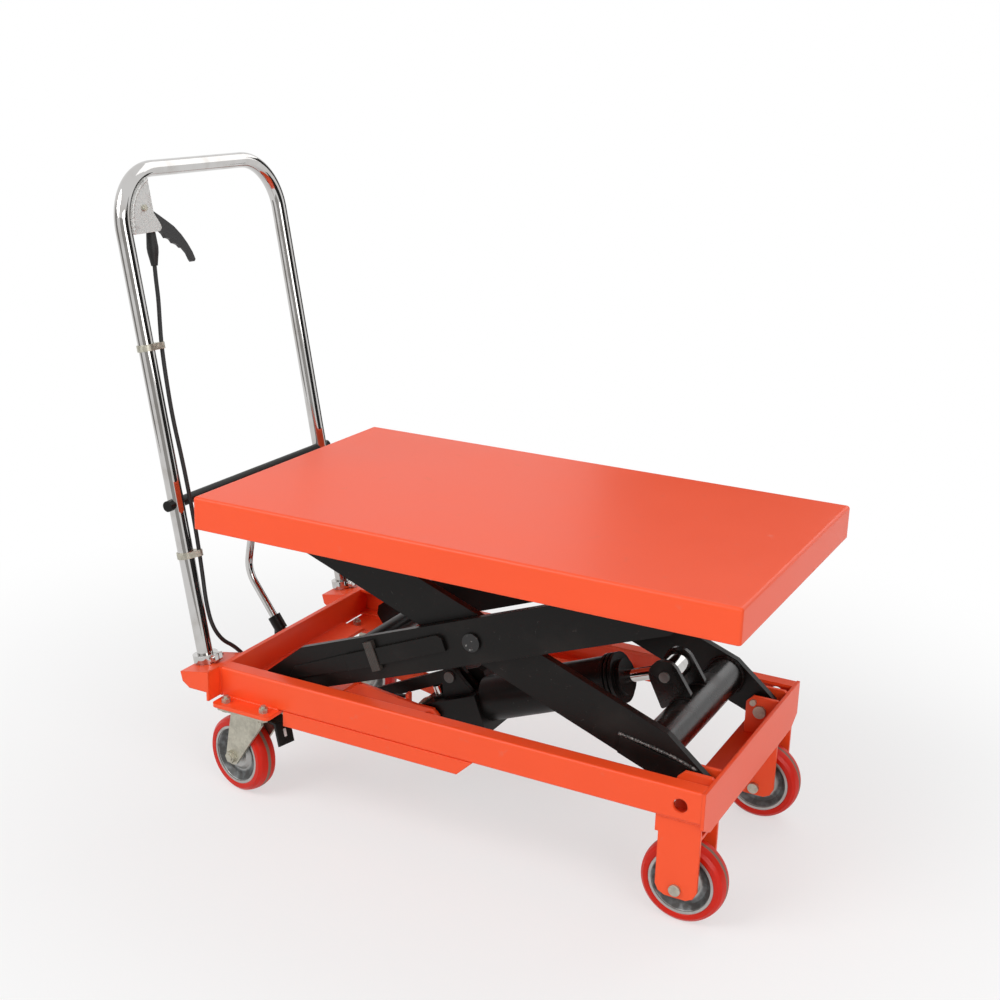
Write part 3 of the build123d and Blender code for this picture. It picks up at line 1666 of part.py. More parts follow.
with BuildPart() as pedal_pad:
    pad_height = pedal_top_height + pedal_pad_radius - 2
    cross_rod(
        pedal_top_x,
        pad_height,
        pedal_pad_radius,
        pedal_across - pedal_pad_half,
        pedal_across + pedal_pad_half,
    )
    chamfer(pedal_pad.edges().filter_by(GeomType.CIRCLE), 2)
    with BuildSketch(Plane(origin=rod_line.line @ 1, z_dir=rod_line.line % 1).offset(-12)) as seat:
        Circle(pedal_rod_radius + shaft_clearance)
    extrude(seat.sketch, amount=12, mode=Mode.SUBTRACT)
pedal_pad.part.label = "pedal_pad"
export_step(pedal_pad.part, "parts/pedal_pad.step")

# The lever's lower edge over the plunger, in the cylinder's frame.
lever_knee = cylinder_plane(0).to_local_coords(Vector(knee_x, 0, knee_height))
lever_slope = (fulcrum_above - lever_knee.Y) / (fulcrum_along - lever_knee.X)
plunger_edges = (plunger_along - plunger_radius, plunger_along + plunger_radius)
lever_drop = min(lever_slope * (edge - fulcrum_along) for edge in plunger_edges)
plunger_top = fulcrum_above + lever_drop - lever_plate_width / 2 * hypot(1, lever_slope) - seat_gap
with BuildPart() as pump_plunger:
    pump_post(plunger_along, plunger_across, plunger_radius, block_top - 14, plunger_top)
pump_plunger.part.label = "pump_plunger"
export_step(pump_plunger.part, "parts/pump_plunger.step")

# A small arm on the release valve faces the end of the cable.
valve_arm_low = block_top + 0.5
valve_arm_reach = pump_stop_across
valve_arm_wall = 2.5
with BuildPart() as valve_arm:
    pump_post(valve_along, valve_across, valve_radius, block_top - 14, valve_arm_low + valve_arm_wall)
    arm_origin = cylinder_plane(0).from_local_coords(Vector(0, valve_arm_low, 0))
    with BuildSketch(Plane(
        origin=arm_origin,
        x_dir=cylinder_axis,
        z_dir=cylinder_plane(0).y_dir,
    )) as arm_face:
        with Locations((valve_along, valve_across)):
            Circle(valve_radius + 2)
        with Locations((valve_along, valve_arm_reach)):
            Circle(3)
        make_hull()
    extrude(arm_face.sketch, amount=valve_arm_wall)
valve_arm.part.label = "valve_arm"
export_step(valve_arm.part, "parts/valve_arm.step")
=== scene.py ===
"""Scissor lift table on casters: finishes, welds, cable and trim on the CAD frame."""

import json
import math

import bmesh
import bpy
from mathutils import Matrix, Vector


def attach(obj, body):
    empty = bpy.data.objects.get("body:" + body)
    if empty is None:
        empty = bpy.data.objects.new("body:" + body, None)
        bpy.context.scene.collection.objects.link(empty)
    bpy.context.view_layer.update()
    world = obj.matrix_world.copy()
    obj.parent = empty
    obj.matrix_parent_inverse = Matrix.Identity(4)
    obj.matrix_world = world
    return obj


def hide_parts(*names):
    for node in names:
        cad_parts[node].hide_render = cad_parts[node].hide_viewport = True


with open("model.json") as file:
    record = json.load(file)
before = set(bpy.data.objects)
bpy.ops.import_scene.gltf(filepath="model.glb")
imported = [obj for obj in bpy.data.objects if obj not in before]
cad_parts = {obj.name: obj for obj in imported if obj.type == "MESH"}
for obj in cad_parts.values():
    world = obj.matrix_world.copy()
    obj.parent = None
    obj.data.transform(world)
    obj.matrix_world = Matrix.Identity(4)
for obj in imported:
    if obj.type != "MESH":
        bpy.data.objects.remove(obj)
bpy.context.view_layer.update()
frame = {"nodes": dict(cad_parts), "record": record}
bpy.ops.object.select_all(action="DESELECT")
nodes = frame["nodes"]

# ---------------------------------------------------------------- camera
camera = bpy.data.objects.new("camera", bpy.data.cameras.new("camera"))
bpy.context.scene.collection.objects.link(camera)
camera.location = (1.0294, -1.9004, 1.1712)
camera.rotation_euler = (1.26668, -0.02767, 0.48464)
camera.data.lens = 53.26
camera.data.sensor_width = 36
camera.data.clip_end = 60
bpy.context.scene.camera = camera


# ---------------------------------------------------------------- node arithmetic
class Wire:
    """A node's output. Plain arithmetic on it adds Math nodes."""

    def __init__(self, finish, socket):
        self.finish = finish
        self.socket = socket

    def math(self, operation, *others):
        values = dict(enumerate((self, *others)))
        return self.finish.node("ShaderNodeMath", {"operation": operation}, values)

    def __add__(self, other):
        return self.math("ADD", other)

    def __sub__(self, other):
        return self.math("SUBTRACT", other)

    def __rsub__(self, other):
        return self.finish.node("ShaderNodeMath", {"operation": "SUBTRACT"}, {0: other, 1: self})

    def __mul__(self, other):
        return self.math("MULTIPLY", other)

    def __pow__(self, other):
        return self.math("POWER", other)

    __radd__ = __add__
    __rmul__ = __mul__


def opaque(colour):
    """A plain colour with its alpha added. A wire stays as it is."""
    return colour if isinstance(colour, Wire) else (*colour, 1)


class Finish:
    """A procedural material, or the world's light, built from wires."""

    def __init__(self, name, owner=None):
        self.owner = owner or bpy.data.materials.new(name)
        self.owner.use_nodes = True
        self.tree = self.owner.node_tree
        self.tree.nodes.clear()

    def node(self, kind, settings=None, values=None, output=0):
        """Adds a node: its settings first, then its sockets' values or wires."""
        made = self.tree.nodes.new(kind)
        for setting, value in (settings or {}).items():
            setattr(made, setting, value)
        for key, value in (values or {}).items():
            socket = made.inputs[key]
            if isinstance(value, Wire):
                self.tree.links.new(value.socket, socket)
            else:
                socket.default_value = value
        return Wire(self, made.outputs[output]) if made.outputs else None

    def place(self, centre=(0, 0, 0), turn=0.0):
        """The point on the object, measured from centre and turned about Z."""
        here = self.node("ShaderNodeTexCoord", output="Object")
        shifted = self.node(
            "ShaderNodeVectorMath", {"operation": "SUBTRACT"}, {0: here, 1: centre}
        )
        if not turn:
            return shifted
        return self.node(
            "ShaderNodeVectorRotate", {"rotation_type": "Z_AXIS"}, {"Vector": shifted, "Angle": turn}
        )

    def parts(self, vector):
        """A vector's X, Y and Z."""
        split = self.node("ShaderNodeSeparateXYZ", values={0: vector})
        return [Wire(self, socket) for socket in split.socket.node.outputs]

    def noise(self, scale, detail, distortion=0.0):
        """Soft noise from 0 to 1; scale is cells per metre."""
        values = {
            "Vector": self.place(),
            "Scale": scale,
            "Detail": detail,
            "Distortion": distortion,
        }
        return self.node("ShaderNodeTexNoise", values=values, output="Fac")

    def rise(self, value, low, high, top=1.0, bottom=0.0):
        """From bottom to top as value goes from low to high, smoothly."""
        values = {0: value, 1: low, 2: high, 3: bottom, 4: top}
        return self.node("ShaderNodeMapRange", {"interpolation_type": "SMOOTHSTEP"}, values)

    def blend(self, mask, first, second):
        """The first colour where mask is 0, the second where it is 1."""
        values = {0: mask, 6: opaque(first), 7: opaque(second)}
        return self.node("ShaderNodeMix", {"data_type": "RGBA"}, values, 2)

    def bump(self, height, distance, strength, normal):
        """Bumps on top of normal; distance is how deep a full height looks, in metres."""
        values = {"Height": height, "Distance": distance, "Strength": strength, "Normal": normal}
        return self.node("ShaderNodeBump", values=values)

    def rounded(self, radius):
        """Normals that round off an edge by radius, in metres."""
        return self.node("ShaderNodeBevel", {"samples": 4}, {"Radius": radius})

    def backdrop_rays(self):
        """1 for rays from the camera, from gloss or through glass, 0 for those that light things."""
        path = self.node("ShaderNodeLightPath")
        names = ("Is Camera Ray", "Is Glossy Ray", "Is Transmission Ray")
        seen, glossy, through = [Wire(self, path.socket.node.outputs[name]) for name in names]
        return (seen + glossy + through).math("MINIMUM", 1.0)

    def glow(self, colour, strength):
        """Light given off evenly."""
        values = {"Color": opaque(colour), "Strength": strength}
        return self.node("ShaderNodeEmission", values=values)

    def end(self, shader, output="ShaderNodeOutputMaterial"):
        """Sends a shader to the output."""
        self.node(output, values={"Surface": shader})
        return self.owner

    def surface(self, **values):
        """Ends the material in a Principled surface; _ in a name stands for a space."""
        named = {name.replace("_", " "): value for name, value in values.items()}
        return self.end(self.node("ShaderNodeBsdfPrincipled", values=named))


# ---------------------------------------------------------------- finishes
def powder_coat(name, colour, deep):
    """Sprayed enamel: faint cloudiness, orange peel, a few rubbed patches."""
    f = Finish(name)
    rubbed = (0.62, 0.3, 0.24)
    cloud = f.noise(7, 3)
    rub = f.rise(f.noise(38, 6, distortion=0.6), 0.64, 0.78)
    colours = f.blend(cloud, deep, colour)
    colours = f.blend(rub * 0.18, colours, rubbed)
    peel = f.noise(420, 2) + 0.35 * f.noise(1500, 1)
    return f.surface(
        Base_Color=colours,
        Roughness=0.38 + 0.08 * cloud + 0.12 * rub,
        Specular_IOR_Level=0.40,
        Coat_Weight=0.10 - 0.07 * rub,
        Coat_Roughness=0.2,
        Normal=f.bump(peel, 0.00022, 0.45, f.rounded(0.0022)),
    )


def black_paint(name, roughness=0.36, shine=0.2):
    """Satin black over rough steel, with settled dust and scuffs."""
    f = Finish(name)
    clean = (0.0052, 0.0044, 0.0038)
    dusty = (0.0145, 0.0125, 0.0110)
    scuffed = (0.09, 0.085, 0.08)
    dust = f.rise(f.noise(16, 5), 0.45, 0.8)
    scuff = f.rise(f.noise(130, 6, distortion=1.2), 0.66, 0.76)
    colours = f.blend(dust, clean, dusty)
    colours = f.blend(scuff * 0.35, colours, scuffed)
    grain = f.noise(500, 3) + 0.6 * f.noise(90, 4)
    return f.surface(
        Base_Color=colours,
        Roughness=roughness + 0.16 * dust + 0.1 * scuff,
        Specular_IOR_Level=shine,
        Normal=f.bump(grain, 0.0004, 0.45, f.rounded(0.0009)),
    )


def chrome_plate(name):
    """Bright plate with faint polish haze and finger marks."""
    f = Finish(name)
    polished = (0.56, 0.55, 0.54)
    hazy = (0.46, 0.44, 0.42)
    haze = f.rise(f.noise(30, 5), 0.4, 0.8)
    marks = f.rise(f.noise(210, 4, distortion=0.8), 0.62, 0.75)
    return f.surface(
        Base_Color=f.blend(haze, polished, hazy),
        Metallic=1.0,
        Roughness=0.035 + 0.04 * haze + 0.07 * marks,
        Normal=f.bump(f.noise(40, 2), 0.0002, 0.15, f.rounded(0.0006)),
    )


def zinc_plate(name, light, dark, roughness=0.36):
    """Zinc: spangled and stained, with a fine grain."""
    f = Finish(name)
    stained = (0.16, 0.15, 0.13)
    cells_per_metre = 260.0
    patches = f.node(
        "ShaderNodeTexVoronoi",
        {"feature": "F1"},
        {"Vector": f.place(), "Scale": cells_per_metre},
        "Color",
    )
    spangle = f.parts(patches)[0]
    stain = f.rise(f.noise(45, 6), 0.5, 0.78)
    colours = f.blend(0.6 * spangle + 0.4 * f.noise(24, 3), dark, light)
    colours = f.blend(stain * 0.4, colours, stained)
    return f.surface(
        Base_Color=colours,
        Metallic=0.92 - 0.25 * stain,
        Roughness=roughness + 0.14 * spangle + 0.16 * stain,
        Normal=f.bump(f.noise(700, 3) + 0.5 * spangle, 0.0002, 0.4, f.rounded(0.0007)),
    )


def arm_pin_finish(name):
    """The arm pins: painted over at the outside of the arms, bare between the clevis plates."""
    f = Finish(name)
    bright_steel = (0.5, 0.5, 0.48)
    dull_steel = (0.36, 0.36, 0.34)
    black_coat = (0.006, 0.0055, 0.0055)
    from_middle = f.parts(f.place())[1].math("ABSOLUTE")
    outside = f.rise(from_middle, 0.08, 0.09)
    chipped = f.rise(f.noise(150, 5), 0.6, 0.68)
    painted = outside * (1 - 0.5 * chipped)
    colours = f.blend(f.noise(60, 3), bright_steel, dull_steel)
    return f.surface(
        Base_Color=f.blend(painted, colours, black_coat),
        Metallic=0.9 * (1 - painted),
        Roughness=0.3 + 0.1 * chipped,
        Normal=f.bump(painted + 0.3 * f.noise(300, 2), 0.0002, 0.4, f.rounded(0.0007)),
    )


def raw_weld(name):
    """Weld metal showing through a thin coat of black."""
    f = Finish(name)
    black_coat = (0.012, 0.011, 0.011)
    weld_grey = (0.2, 0.19, 0.18)
    bare = f.rise(f.noise(320, 4), 0.42, 0.62)
    return f.surface(
        Base_Color=f.blend(bare, black_coat, weld_grey),
        Metallic=0.7 * bare,
        Roughness=0.3 + 0.15 * bare,
    )


def wheel_place(f, centre, turn):
    """For a wheel: distance from its axle, and distance along the axle."""
    across, along, up = f.parts(f.place(centre, -turn))
    return (across * across + up * up) ** 0.5, along


def turned_rim(name, centre, turn):
    """Cast rim turned on its faces: rings about the axle, painted shade in the groove round the hub, and
    dark grease from noise, with more of it in that groove.
    """
    f = Finish(name)
    dull_cast = (0.34, 0.34, 0.33)
    bright_cast = (0.6, 0.6, 0.58)
    # The blue-grey is painted shade for the groove round the hub.
    painted_groove_shade_blue = (0.07, 0.085, 0.095)
    # The brown is grease from noise, also laid deeper in the groove by the painted shade, so it is partly
    # painted shade.
    grease_and_groove_shade_brown = (0.05, 0.045, 0.04)
    radians_per_metre = 5200
    radius, _ = wheel_place(f, centre, turn)
    rings = (radius * radians_per_metre).math("SINE")
    # Painted shade: the ring between about 29 and 44 mm from the axle, where the groove lies, is darkened
    # towards blue-grey.
    painted_groove_shade = f.rise(radius, 0.026, 0.032) * f.rise(radius, 0.0425, 0.0445, 0.0, 1.0)
    # Random grease plus part of the painted groove shade: real grime mixed with painted shade in the
    # groove.
    grease_and_groove_shade = f.rise(f.noise(90, 5) + 0.3 * painted_groove_shade, 0.62, 0.9)
    colours = f.blend(f.noise(70, 4), dull_cast, bright_cast)
    colours = f.blend(painted_groove_shade * 0.75, colours, painted_groove_shade_blue)
    colours = f.blend(grease_and_groove_shade * 0.7, colours, grease_and_groove_shade_brown)
    return f.surface(
        Base_Color=colours,
        Metallic=0.9 - 0.4 * grease_and_groove_shade,
        Roughness=0.34 + 0.2 * f.noise(160, 3) + 0.1 * grease_and_groove_shade,
        Normal=f.bump(rings * 0.5 + f.noise(600, 2), 0.00012, 0.5, f.rounded(0.0008)),
    )


def cast_tyre(name, centre, turn):
    """Red polyurethane, with a dull worn band round the middle of the tread."""
    f = Finish(name)
    deep_red = (0.56, 0.011, 0.002)
    bright_red = (0.70, 0.016, 0.004)
    dusty_red = (0.42, 0.09, 0.06)
    worn_brown = (0.19, 0.16, 0.12)
    radius, along = wheel_place(f, centre, turn)
    tread = f.rise(radius, 0.0592, 0.0615)
    wander = along + 0.0016 * (f.noise(60, 3) - 0.5)
    worn = f.rise(wander.math("ABSOLUTE"), 0.0026, 0.0034, 0.0, 1.0) * tread
    dust = f.rise(f.noise(75, 6), 0.52, 0.8) * tread
    colours = f.blend(f.noise(26, 3), deep_red, bright_red)
    colours = f.blend(dust * 0.35, colours, dusty_red)
    colours = f.blend(worn * 0.9, colours, worn_brown)
    return f.surface(
        Base_Color=colours,
        Roughness=0.34 + 0.14 * tread + 0.2 * dust + 0.1 * worn,
        Specular_IOR_Level=0.22,
        Coat_Weight=0.10 - 0.07 * tread,
        Coat_Roughness=0.14,
        Normal=f.bump(0.4 * f.noise(420, 3) - 1.5 * worn, 0.0004, 0.6, f.rounded(0.0006)),
    )


def moulded(name, colour, roughness, grain):
    """Moulded plastic or rubber with a fine spark-eroded grain."""
    f = Finish(name)
    worn = f.rise(f.noise(55, 5), 0.5, 0.85)
    lighter = tuple(2.2 * channel + 0.01 for channel in colour)
    return f.surface(
        Base_Color=f.blend(worn * 0.5, colour, lighter),
        Roughness=roughness + 0.1 * worn,
        Normal=f.bump(f.noise(grain, 3), 0.0002, 0.5, f.rounded(0.0008)),
    )


def ribbed_strap(name):
    """Dull brown-grey strap, ribbed across the outer arm that it goes round, with painted shade darkening
    the grooves between the ribs.
    """
    f = Finish(name)
    clean = (0.060, 0.052, 0.044)
    grimy = (0.034, 0.029, 0.025)
    # Painted shade colour for the grooves between the ribs.
    painted_rib_shade = (0.014, 0.012, 0.010)
    radians_per_metre = 2100
    forwards, _, up = f.parts(f.place())
    ribs = ((0.922 * forwards + 0.387 * up) * radians_per_metre).math("SINE")
    grime = f.noise(90, 4)
    colours = f.blend(grime, clean, grimy)
    # Painted shade: darker where the ribs dip, on top of their bump.
    colours = f.blend(f.rise(ribs, -0.9, 0.2, 0.0, 0.55), colours, painted_rib_shade)
    return f.surface(
        Base_Color=colours,
        Roughness=0.46 + 0.1 * grime,
        Normal=f.bump(ribs, 0.0003, 0.6, f.rounded(0.0006)),
    )


dull_pin = zinc_plate("dull_pin", (0.16, 0.155, 0.15), (0.08, 0.08, 0.08), 0.4)
weld_metal = raw_weld("weld_metal")
orange = powder_coat("orange_powder_coat", (0.98, 0.094, 0.019), (0.93, 0.082, 0.015))
black = black_paint("black_satin_paint")
chrome = chrome_plate("chrome_plate")
zinc = zinc_plate("zinc_plate", (0.60, 0.58, 0.49), (0.42, 0.40, 0.33))
bracket_grey = zinc_plate("bracket_zinc", (0.70, 0.70, 0.68), (0.56, 0.56, 0.55), 0.42)
black_plastic = moulded("black_plastic", (0.012, 0.012, 0.013), 0.36, 900)
black_rubber = moulded("black_rubber", (0.010, 0.010, 0.010), 0.55, 600)
strap_grey = ribbed_strap("ribbed_strap")
white_mark = moulded("white_mark", (0.62, 0.62, 0.6), 0.5, 500)

slot_finish = {
    "orange_paint": orange,
    "black_paint": black,
    "chrome": chrome,
    "zinc": zinc,
    "bracket_grey": bracket_grey,
    "black_plastic": black_plastic,
    "black_rubber": black_rubber,
    "strap": strap_grey,
}
side_sign = {"near": -1, "far": 1}
swivel_turn = math.radians(12)  # how far each swivel caster is turned, to opposite sides
axle_height = 0.0625
fixed_wheel = (0.4425, 0.1685)  # forwards and out from the middle
swivel_wheel = (-0.3095, 0.1766)
own_finish = {
    "arm_pins": arm_pin_finish("arm_pin_metal"),
    "fulcrum_pin": dull_pin,
    "torsion_tube": black_paint("tube_paint", 0.24, 0.6),
}
for side, sign in side_sign.items():
    for kind, (forwards, outwards), turn in (
        ("fixed", fixed_wheel, 0.0),
        ("swivel", swivel_wheel, sign * swivel_turn),
    ):
        centre = (forwards, sign * outwards, axle_height)
        own_finish[f"{kind}_hub_{side}"] = turned_rim(f"{kind}_rim_{side}", centre, turn)
        own_finish[f"{kind}_tyre_{side}"] = cast_tyre(f"{kind}_tread_{side}", centre, turn)

for part in frame["record"]["subparts"]:
    node = nodes[part["node"]]
    finish = own_finish.get(part["node"]) or slot_finish[part["material_slot"]]
    node.data.materials.clear()
    node.data.materials.append(finish)


# ---------------------------------------------------------------- making pieces
def settle(piece, body, finish):
    """Puts a piece's place into its mesh, paints it and hangs it on its body."""
    bpy.ops.object.select_all(action="DESELECT")
    bpy.context.view_layer.objects.active = piece
    piece.select_set(True)
    bpy.ops.object.transform_apply(location=True, rotation=True, scale=True)
    piece.data.materials.clear()
    piece.data.materials.append(finish)
    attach(piece, body)
    bpy.ops.object.select_all(action="DESELECT")


def apply_modifiers(piece):
    """Turns a piece's modifiers into its mesh."""
    bpy.ops.object.select_all(action="DESELECT")
    bpy.context.view_layer.objects.active = piece
    piece.select_set(True)
    for modifier in list(piece.modifiers):
        bpy.ops.object.modifier_apply(modifier=modifier.name)


def weld_bead(name, body, finish, line, radius):
    """A run of weld: overlapping scales along a line, fused and softened."""
    line = [Vector(point) for point in line]
    step = 0.8 * radius
    spots = []
    for start, end in zip(line, line[1:]):
        count = max(1, round((end - start).length / step))
        spots += [start.lerp(end, i / count) for i in range(count)]
    spots.append(line[-1])
    bpy.ops.mesh.primitive_ico_sphere_add(subdivisions=2, radius=radius, location=spots[0])
    bead = bpy.context.object
    bead.name = name
    bpy.ops.object.mode_set(mode="EDIT")
    for number, spot in enumerate(spots[1:]):
        swell = radius * (1 + 0.16 * math.sin(2.1 * number) + 0.08 * math.sin(0.7 * number))
        bpy.ops.mesh.primitive_ico_sphere_add(subdivisions=2, radius=swell, location=spot)
    bpy.ops.object.mode_set(mode="OBJECT")
    bpy.ops.object.transform_apply(location=True, rotation=True, scale=True)
    fuse = bead.modifiers.new("fuse", "REMESH")
    fuse.mode = "VOXEL"
    fuse.voxel_size = 0.3 * radius
    fuse.use_smooth_shade = True
    soften = bead.modifiers.new("soften", "SMOOTH")
    soften.iterations = 2
    apply_modifiers(bead)
    settle(bead, body, finish)


def ring(centre, radius, start=0, sweep=360, count=28):
    """Points round a circle about Y, in degrees from X towards Z."""
    angles = [math.radians(start + sweep * i / count) for i in range(count + 1)]
    x, y, z = centre
    return [(x + radius * math.cos(angle), y, z + radius * math.sin(angle)) for angle in angles]


# ---------------------------------------------------------------- release cable
# The points of the CAD route, in metres, from the boot to the stop beside the pump.
cable_diameter = 0.0065
cable_points = [
    (-0.4821, -0.1419, 0.8320),
    (-0.4802, -0.1430, 0.8222),
    (-0.4752, -0.1470, 0.8012),
    (-0.4660, -0.1540, 0.7744),
    (-0.4550, -0.1660, 0.7439),
    (-0.4433, -0.1780, 0.7095),
    (-0.4319, -0.1840, 0.6608),
    (-0.4207, -0.1855, 0.5998),
    (-0.4080, -0.1830, 0.5391),
    (-0.3968, -0.1815, 0.4782),
    (-0.3854, -0.1825, 0.4213),
    (-0.3737, -0.1860, 0.3608),
    (-0.3642, -0.1910, 0.3137),
    (-0.3557, -0.1890, 0.2747),
    (-0.3490, -0.1730, 0.2454),
    (-0.3462, -0.1450, 0.2256),
    (-0.3445, -0.1080, 0.1860),
    (-0.3335, -0.0880, 0.1560),
    (-0.2995, -0.0700, 0.1370),
    (-0.2495, -0.0540, 0.1310),
    (-0.1935, -0.0430, 0.1350),
    (-0.1375, -0.0410, 0.1470),
    (-0.0855, -0.0420, 0.1600),
]
cable_curve = bpy.data.curves.new("cable_sheath", "CURVE")
cable_curve.dimensions = "3D"
cable_curve.resolution_u = 8
cable_curve.bevel_depth = cable_diameter / 2
cable_curve.bevel_resolution = 5
cable_curve.use_fill_caps = True
run = cable_curve.splines.new("NURBS")
run.points.add(len(cable_points) - 1)
for point, place in zip(run.points, cable_points):
    point.co = (*place, 1)
run.order_u = 3
run.use_endpoint_u = True
cable_sheath = bpy.data.objects.new("cable_sheath", cable_curve)
bpy.context.scene.collection.objects.link(cable_sheath)
cable_curve.materials.append(black_rubber)
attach(cable_sheath, "base")
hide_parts("release_cable")


# ---------------------------------------------------------------- welds
def on_arm(foot, lean, along, above, across):
    """A point beside an arm: along and above the line through its pins, from its lower pin."""
    x = foot[0] + lean[0] * along - lean[1] * above * (1 if lean[0] > 0 else -1)
    z = foot[1] + lean[1] * along + abs(lean[0]) * above
    return (x, across, z)


# An arm's lower pin, forwards and up, and the way that the arm runs from it.
inner_foot = (0.4435, 0.194)
inner_lean = (-0.922224, 0.386656)
outer_foot = (-0.24819, 0.194)
outer_lean = (0.922224, 0.386656)
torsion_middle = on_arm(inner_foot, inner_lean, 0.075, 0.0125, 0)
cross_middle = on_arm(outer_foot, outer_lean, 0.110, 0.005, 0)
torsion_end = 0.1385  # across, where the torsion tube meets an inner arm
cross_end = 0.1550  # across, where the cross tube meets an outer arm
torsion_ring = 0.0295
cross_ring = 0.0165
clevis_ring = 0.0292
inner_arm_face = 0.1524
clevis_faces = (0.0245, 0.0335)
# Along and above the arm's line of pins, like the points that on_arm takes.
arm_end_run = [(0.128, 0.003), (0.104, 0.009), (0.082, 0.014), (0.045, 0.021), (0.012, 0.024)]
# On the frame, for the far side: a name, the two ends of the run, and the bead's radius.
frame_welds = (
    ("caster_plate", [(-0.316, 0.2122, 0.1726), (-0.216, 0.2122, 0.1726)], 0.0027),
    ("fork", [(0.412, 0.2068, 0.1716), (0.472, 0.2068, 0.1716)], 0.0026),
    ("rail_end", [(-0.3300, 0.2090, 0.1760), (-0.3300, 0.2090, 0.2170)], 0.0022),
    ("socket", [(-0.3298, 0.1494, 0.1760), (-0.3298, 0.1494, 0.2150)], 0.0025),
    ("corner", [(0.4725, 0.2058, 0.1780), (0.4725, 0.2058, 0.2150)], 0.0022),
)

for side, sign in side_sign.items():
    spot = (torsion_middle[0], sign * torsion_end, torsion_middle[2])
    circle = ring(spot, torsion_ring)
    weld_bead(f"torsion_weld_{side}", "inner_arms", black, circle, 0.003)
    spot = (cross_middle[0], sign * cross_end, cross_middle[2])
    circle = ring(spot, cross_ring)
    weld_bead(f"cross_weld_{side}", "outer_arms", black, circle, 0.0022)
    run = [
        on_arm(inner_foot, inner_lean, along, above, sign * inner_arm_face)
        for along, above in arm_end_run
    ]
    weld_bead(f"arm_end_weld_{side}", "inner_arms", weld_metal, run, 0.0026)
    for number, clevis_face in enumerate(clevis_faces):
        spot = (torsion_middle[0], sign * clevis_face, torsion_middle[2])
        arc = ring(spot, clevis_ring, 80, 68, 12)
        weld_bead(f"clevis_weld_{side}_{number}", "inner_arms", black, arc, 0.0019)
    for name, run, radius in frame_welds:
        run = [(x, sign * y, z) for x, y, z in run]
        weld_bead(f"{name}_weld_{side}", "base", orange, run, radius)

# The handle leans back, by the angle of this sine and cosine.
lean_sine = 0.1887
lean_cosine = 0.9820
handle_bar = (-0.5075, 0.9640)  # the middle of the top bar, forwards and up
upright_across = -0.1950  # the near upright's axis


def below_bar(inwards, down, forwards):
    """A point beside the near upright: inwards from its axis, down from the top bar, out to its front."""
    x = handle_bar[0] - down * lean_sine + forwards * lean_cosine
    z = handle_bar[1] + down * lean_cosine + forwards * lean_sine
    return (x, upright_across + inwards, z)


# The lever bracket's welds go up the near upright and round the tube's corner.
corner_radius = 0.085
inset = 0.0118  # inwards from the tube's axis
weld_foot = -0.092  # down is negative
bracket_face = 0.0094
reach = corner_radius - inset
bracket_run = [(inset, weld_foot), (inset, -corner_radius)]
for turn in range(10, 71, 10):
    turned = math.radians(turn)
    inwards = corner_radius - reach * math.cos(turned)
    down = -corner_radius + reach * math.sin(turned)
    bracket_run.append((inwards, down))
for face in (-1, 1):
    run = [below_bar(inwards, down, face * bracket_face) for inwards, down in bracket_run]
    weld_bead(f"bracket_weld_{face + 1}", "base", bracket_grey, run, 0.0028)


# ---------------------------------------------------------------- arm plate and pedal marks
def bevelled(piece, width):
    """Rounds a plate's corners by width, in metres."""
    rounding = piece.modifiers.new("rounding", "BEVEL")
    rounding.width = width
    rounding.segments = 3
    rounding.limit_method = "ANGLE"
    apply_modifiers(piece)


def tapered_tail():
    """The prop bar's thin lower end, lying on the arm down to the roller."""
    length, depth, thickness = 0.136, 0.026, 0.0032
    arm_face = -0.1680
    slope = math.atan2(outer_lean[1], outer_lean[0])
    middle = on_arm(outer_foot, outer_lean, 0.082, 0.009, arm_face - thickness / 2)
    bpy.ops.mesh.primitive_cube_add(size=1)
    tail = bpy.context.object
    tail.name = "prop_bar_tail"
    tail.scale = (length, thickness, depth)
    bpy.ops.object.transform_apply(location=False, rotation=False, scale=True)
    bpy.ops.object.mode_set(mode="EDIT")
    shape = bmesh.from_edit_mesh(tail.data)
    upper_cut = (0.034, -0.002)
    lower_cut = (0.012, 0.006)
    for corner in shape.verts:
        if corner.co.x < 0:
            cut = upper_cut if corner.co.z > 0 else lower_cut
            corner.co.x += cut[0]
            corner.co.z += cut[1]
    bmesh.update_edit_mesh(tail.data)
    bpy.ops.object.mode_set(mode="OBJECT")
    bevelled(tail, 0.0008)
    tail.matrix_world = Matrix.Translation(middle) @ Matrix.Rotation(-slope, 4, "Y")
    settle(tail, "outer_arms", black)


def pedal_mark(side, sign):
    """A raised pale tab on a brake pedal's tread."""
    normal = Vector((0.94, sign * 0.20, 0.27)).normalized()
    raised = 0.0004
    middle = Vector((-0.2127, sign * 0.1972, 0.1295)) + normal * raised
    bpy.ops.mesh.primitive_cube_add(size=1)
    tab = bpy.context.object
    tab.name = f"brake_mark_{side}"
    tab.scale = (0.005, 0.013, 0.0014)
    bpy.ops.object.transform_apply(location=False, rotation=False, scale=True)
    bevelled(tab, 0.0005)
    turned = normal.to_track_quat("Z", "Y").to_matrix().to_4x4()
    tab.matrix_world = Matrix.Translation(middle) @ turned
    settle(tab, f"brake_{side}", white_mark)


tapered_tail()
for side, sign in side_sign.items():
    pedal_mark(side, sign)

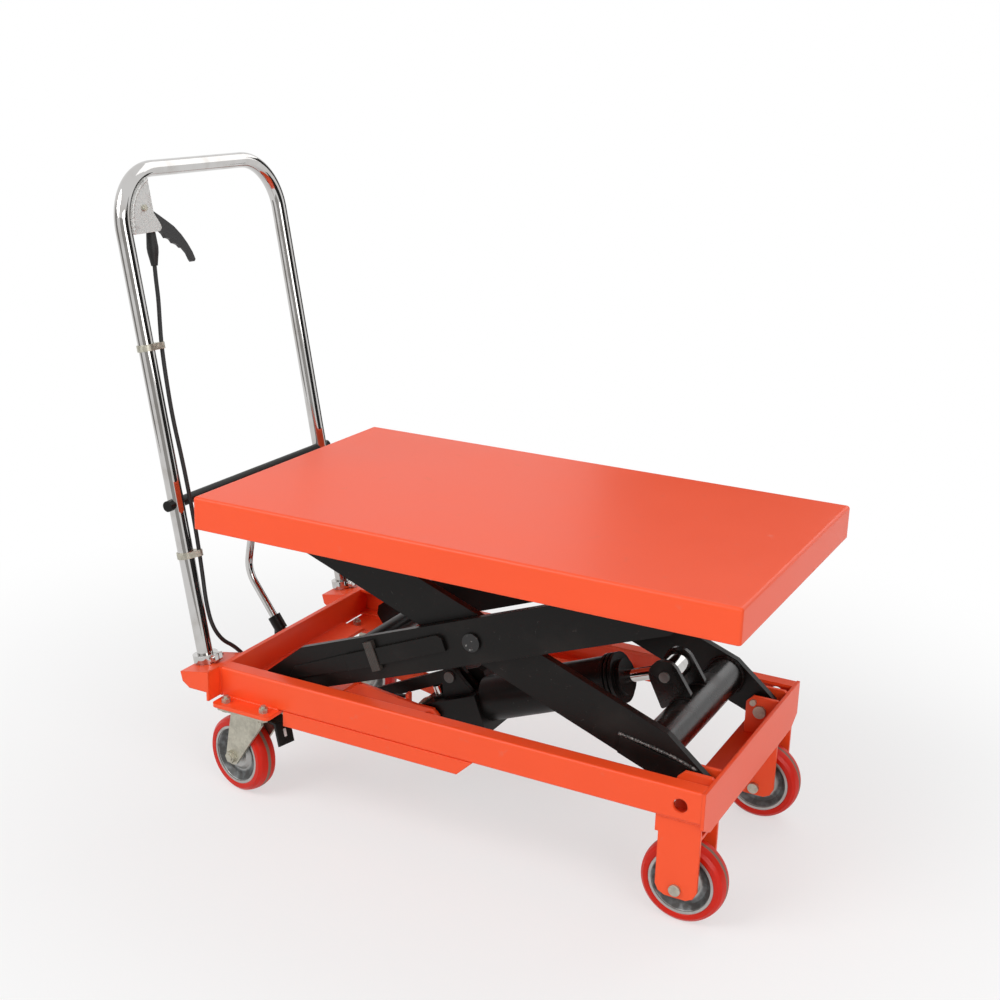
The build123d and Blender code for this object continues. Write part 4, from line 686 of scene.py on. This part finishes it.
# ---------------------------------------------------------------- floor, backdrop and light
bpy.ops.mesh.primitive_plane_add(size=30)
floor = bpy.context.object
floor.name = "floor"
ground = Finish("pale_floor")
across, along, _ = ground.parts(ground.place())
from_middle = (across * across + along * along) ** 0.5
far_off = ground.rise(from_middle, 0.45, 1.5, 1.0, 0.55)
pale = {"Base Color": opaque((0.86, 0.86, 0.86)), "Roughness": 0.9}
matt = ground.node("ShaderNodeBsdfPrincipled", values=pale)
white = ground.glow((1, 1, 1), 1.0)
shown = far_off * ground.backdrop_rays()
ground.end(ground.node("ShaderNodeMixShader", values={0: shown, 1: matt, 2: white}))
floor.data.materials.append(ground.owner)

world = bpy.data.worlds.new("studio")
bpy.context.scene.world = world
sky = Finish("studio", world)
room_light = 0.42
level = room_light + (1 - room_light) * sky.backdrop_rays()
backdrop = sky.node("ShaderNodeBackground", values={"Color": opaque((1, 1, 1)), "Strength": level})
sky.end(backdrop, "ShaderNodeOutputWorld")


def soft_box(name, place, aim, size, power):
    """A large square lamp at place, turned towards aim."""
    lamp = bpy.data.objects.new(name, bpy.data.lights.new(name, "AREA"))
    bpy.context.scene.collection.objects.link(lamp)
    lamp.location = place
    lamp.rotation_euler = (Vector(aim) - Vector(place)).to_track_quat("-Z", "Y").to_euler()
    lamp.data.shape = "SQUARE"
    lamp.data.size = size
    lamp.data.energy = power


def grey_card(name, place, aim, size, level):
    """A card that only reflections see, for the tone along the chrome tubes."""
    bpy.ops.mesh.primitive_plane_add(size=1, location=place)
    card = bpy.context.object
    card.name = name
    card.scale = (*size, 1)
    card.rotation_euler = (Vector(aim) - Vector(place)).to_track_quat("Z", "Y").to_euler()
    card.visible_camera = False
    card.visible_diffuse = False
    card.visible_shadow = False
    tone = Finish(name)
    card.data.materials.append(tone.end(tone.glow((1, 0.98, 0.95), level)))


upright = (-0.45, -0.195, 0.55)
grey_card("card_front", (0.35, -1.75, 0.75), upright, (1.5, 1.7), 0.42)
grey_card("card_side", (1.25, 0.05, 0.75), upright, (1.5, 1.7), 0.03)
grey_card("card_back", (-0.1, 1.7, 0.75), upright, (0.9, 1.7), 0.06)
grey_card("card_left", (-1.9, -1.2, 0.75), upright, (1.0, 1.7), 0.3)

middle = (0, 0, 0.4)
soft_box("key", (-1.6, -2.6, 2.9), middle, 2.2, 70)
soft_box("fill", (2.8, -1.8, 1.9), middle, 2.0, 40)
soft_box("back", (0.6, 2.6, 2.8), (0, 0, 0.5), 3.0, 26)

bpy.context.scene.view_settings.view_transform = "Standard"
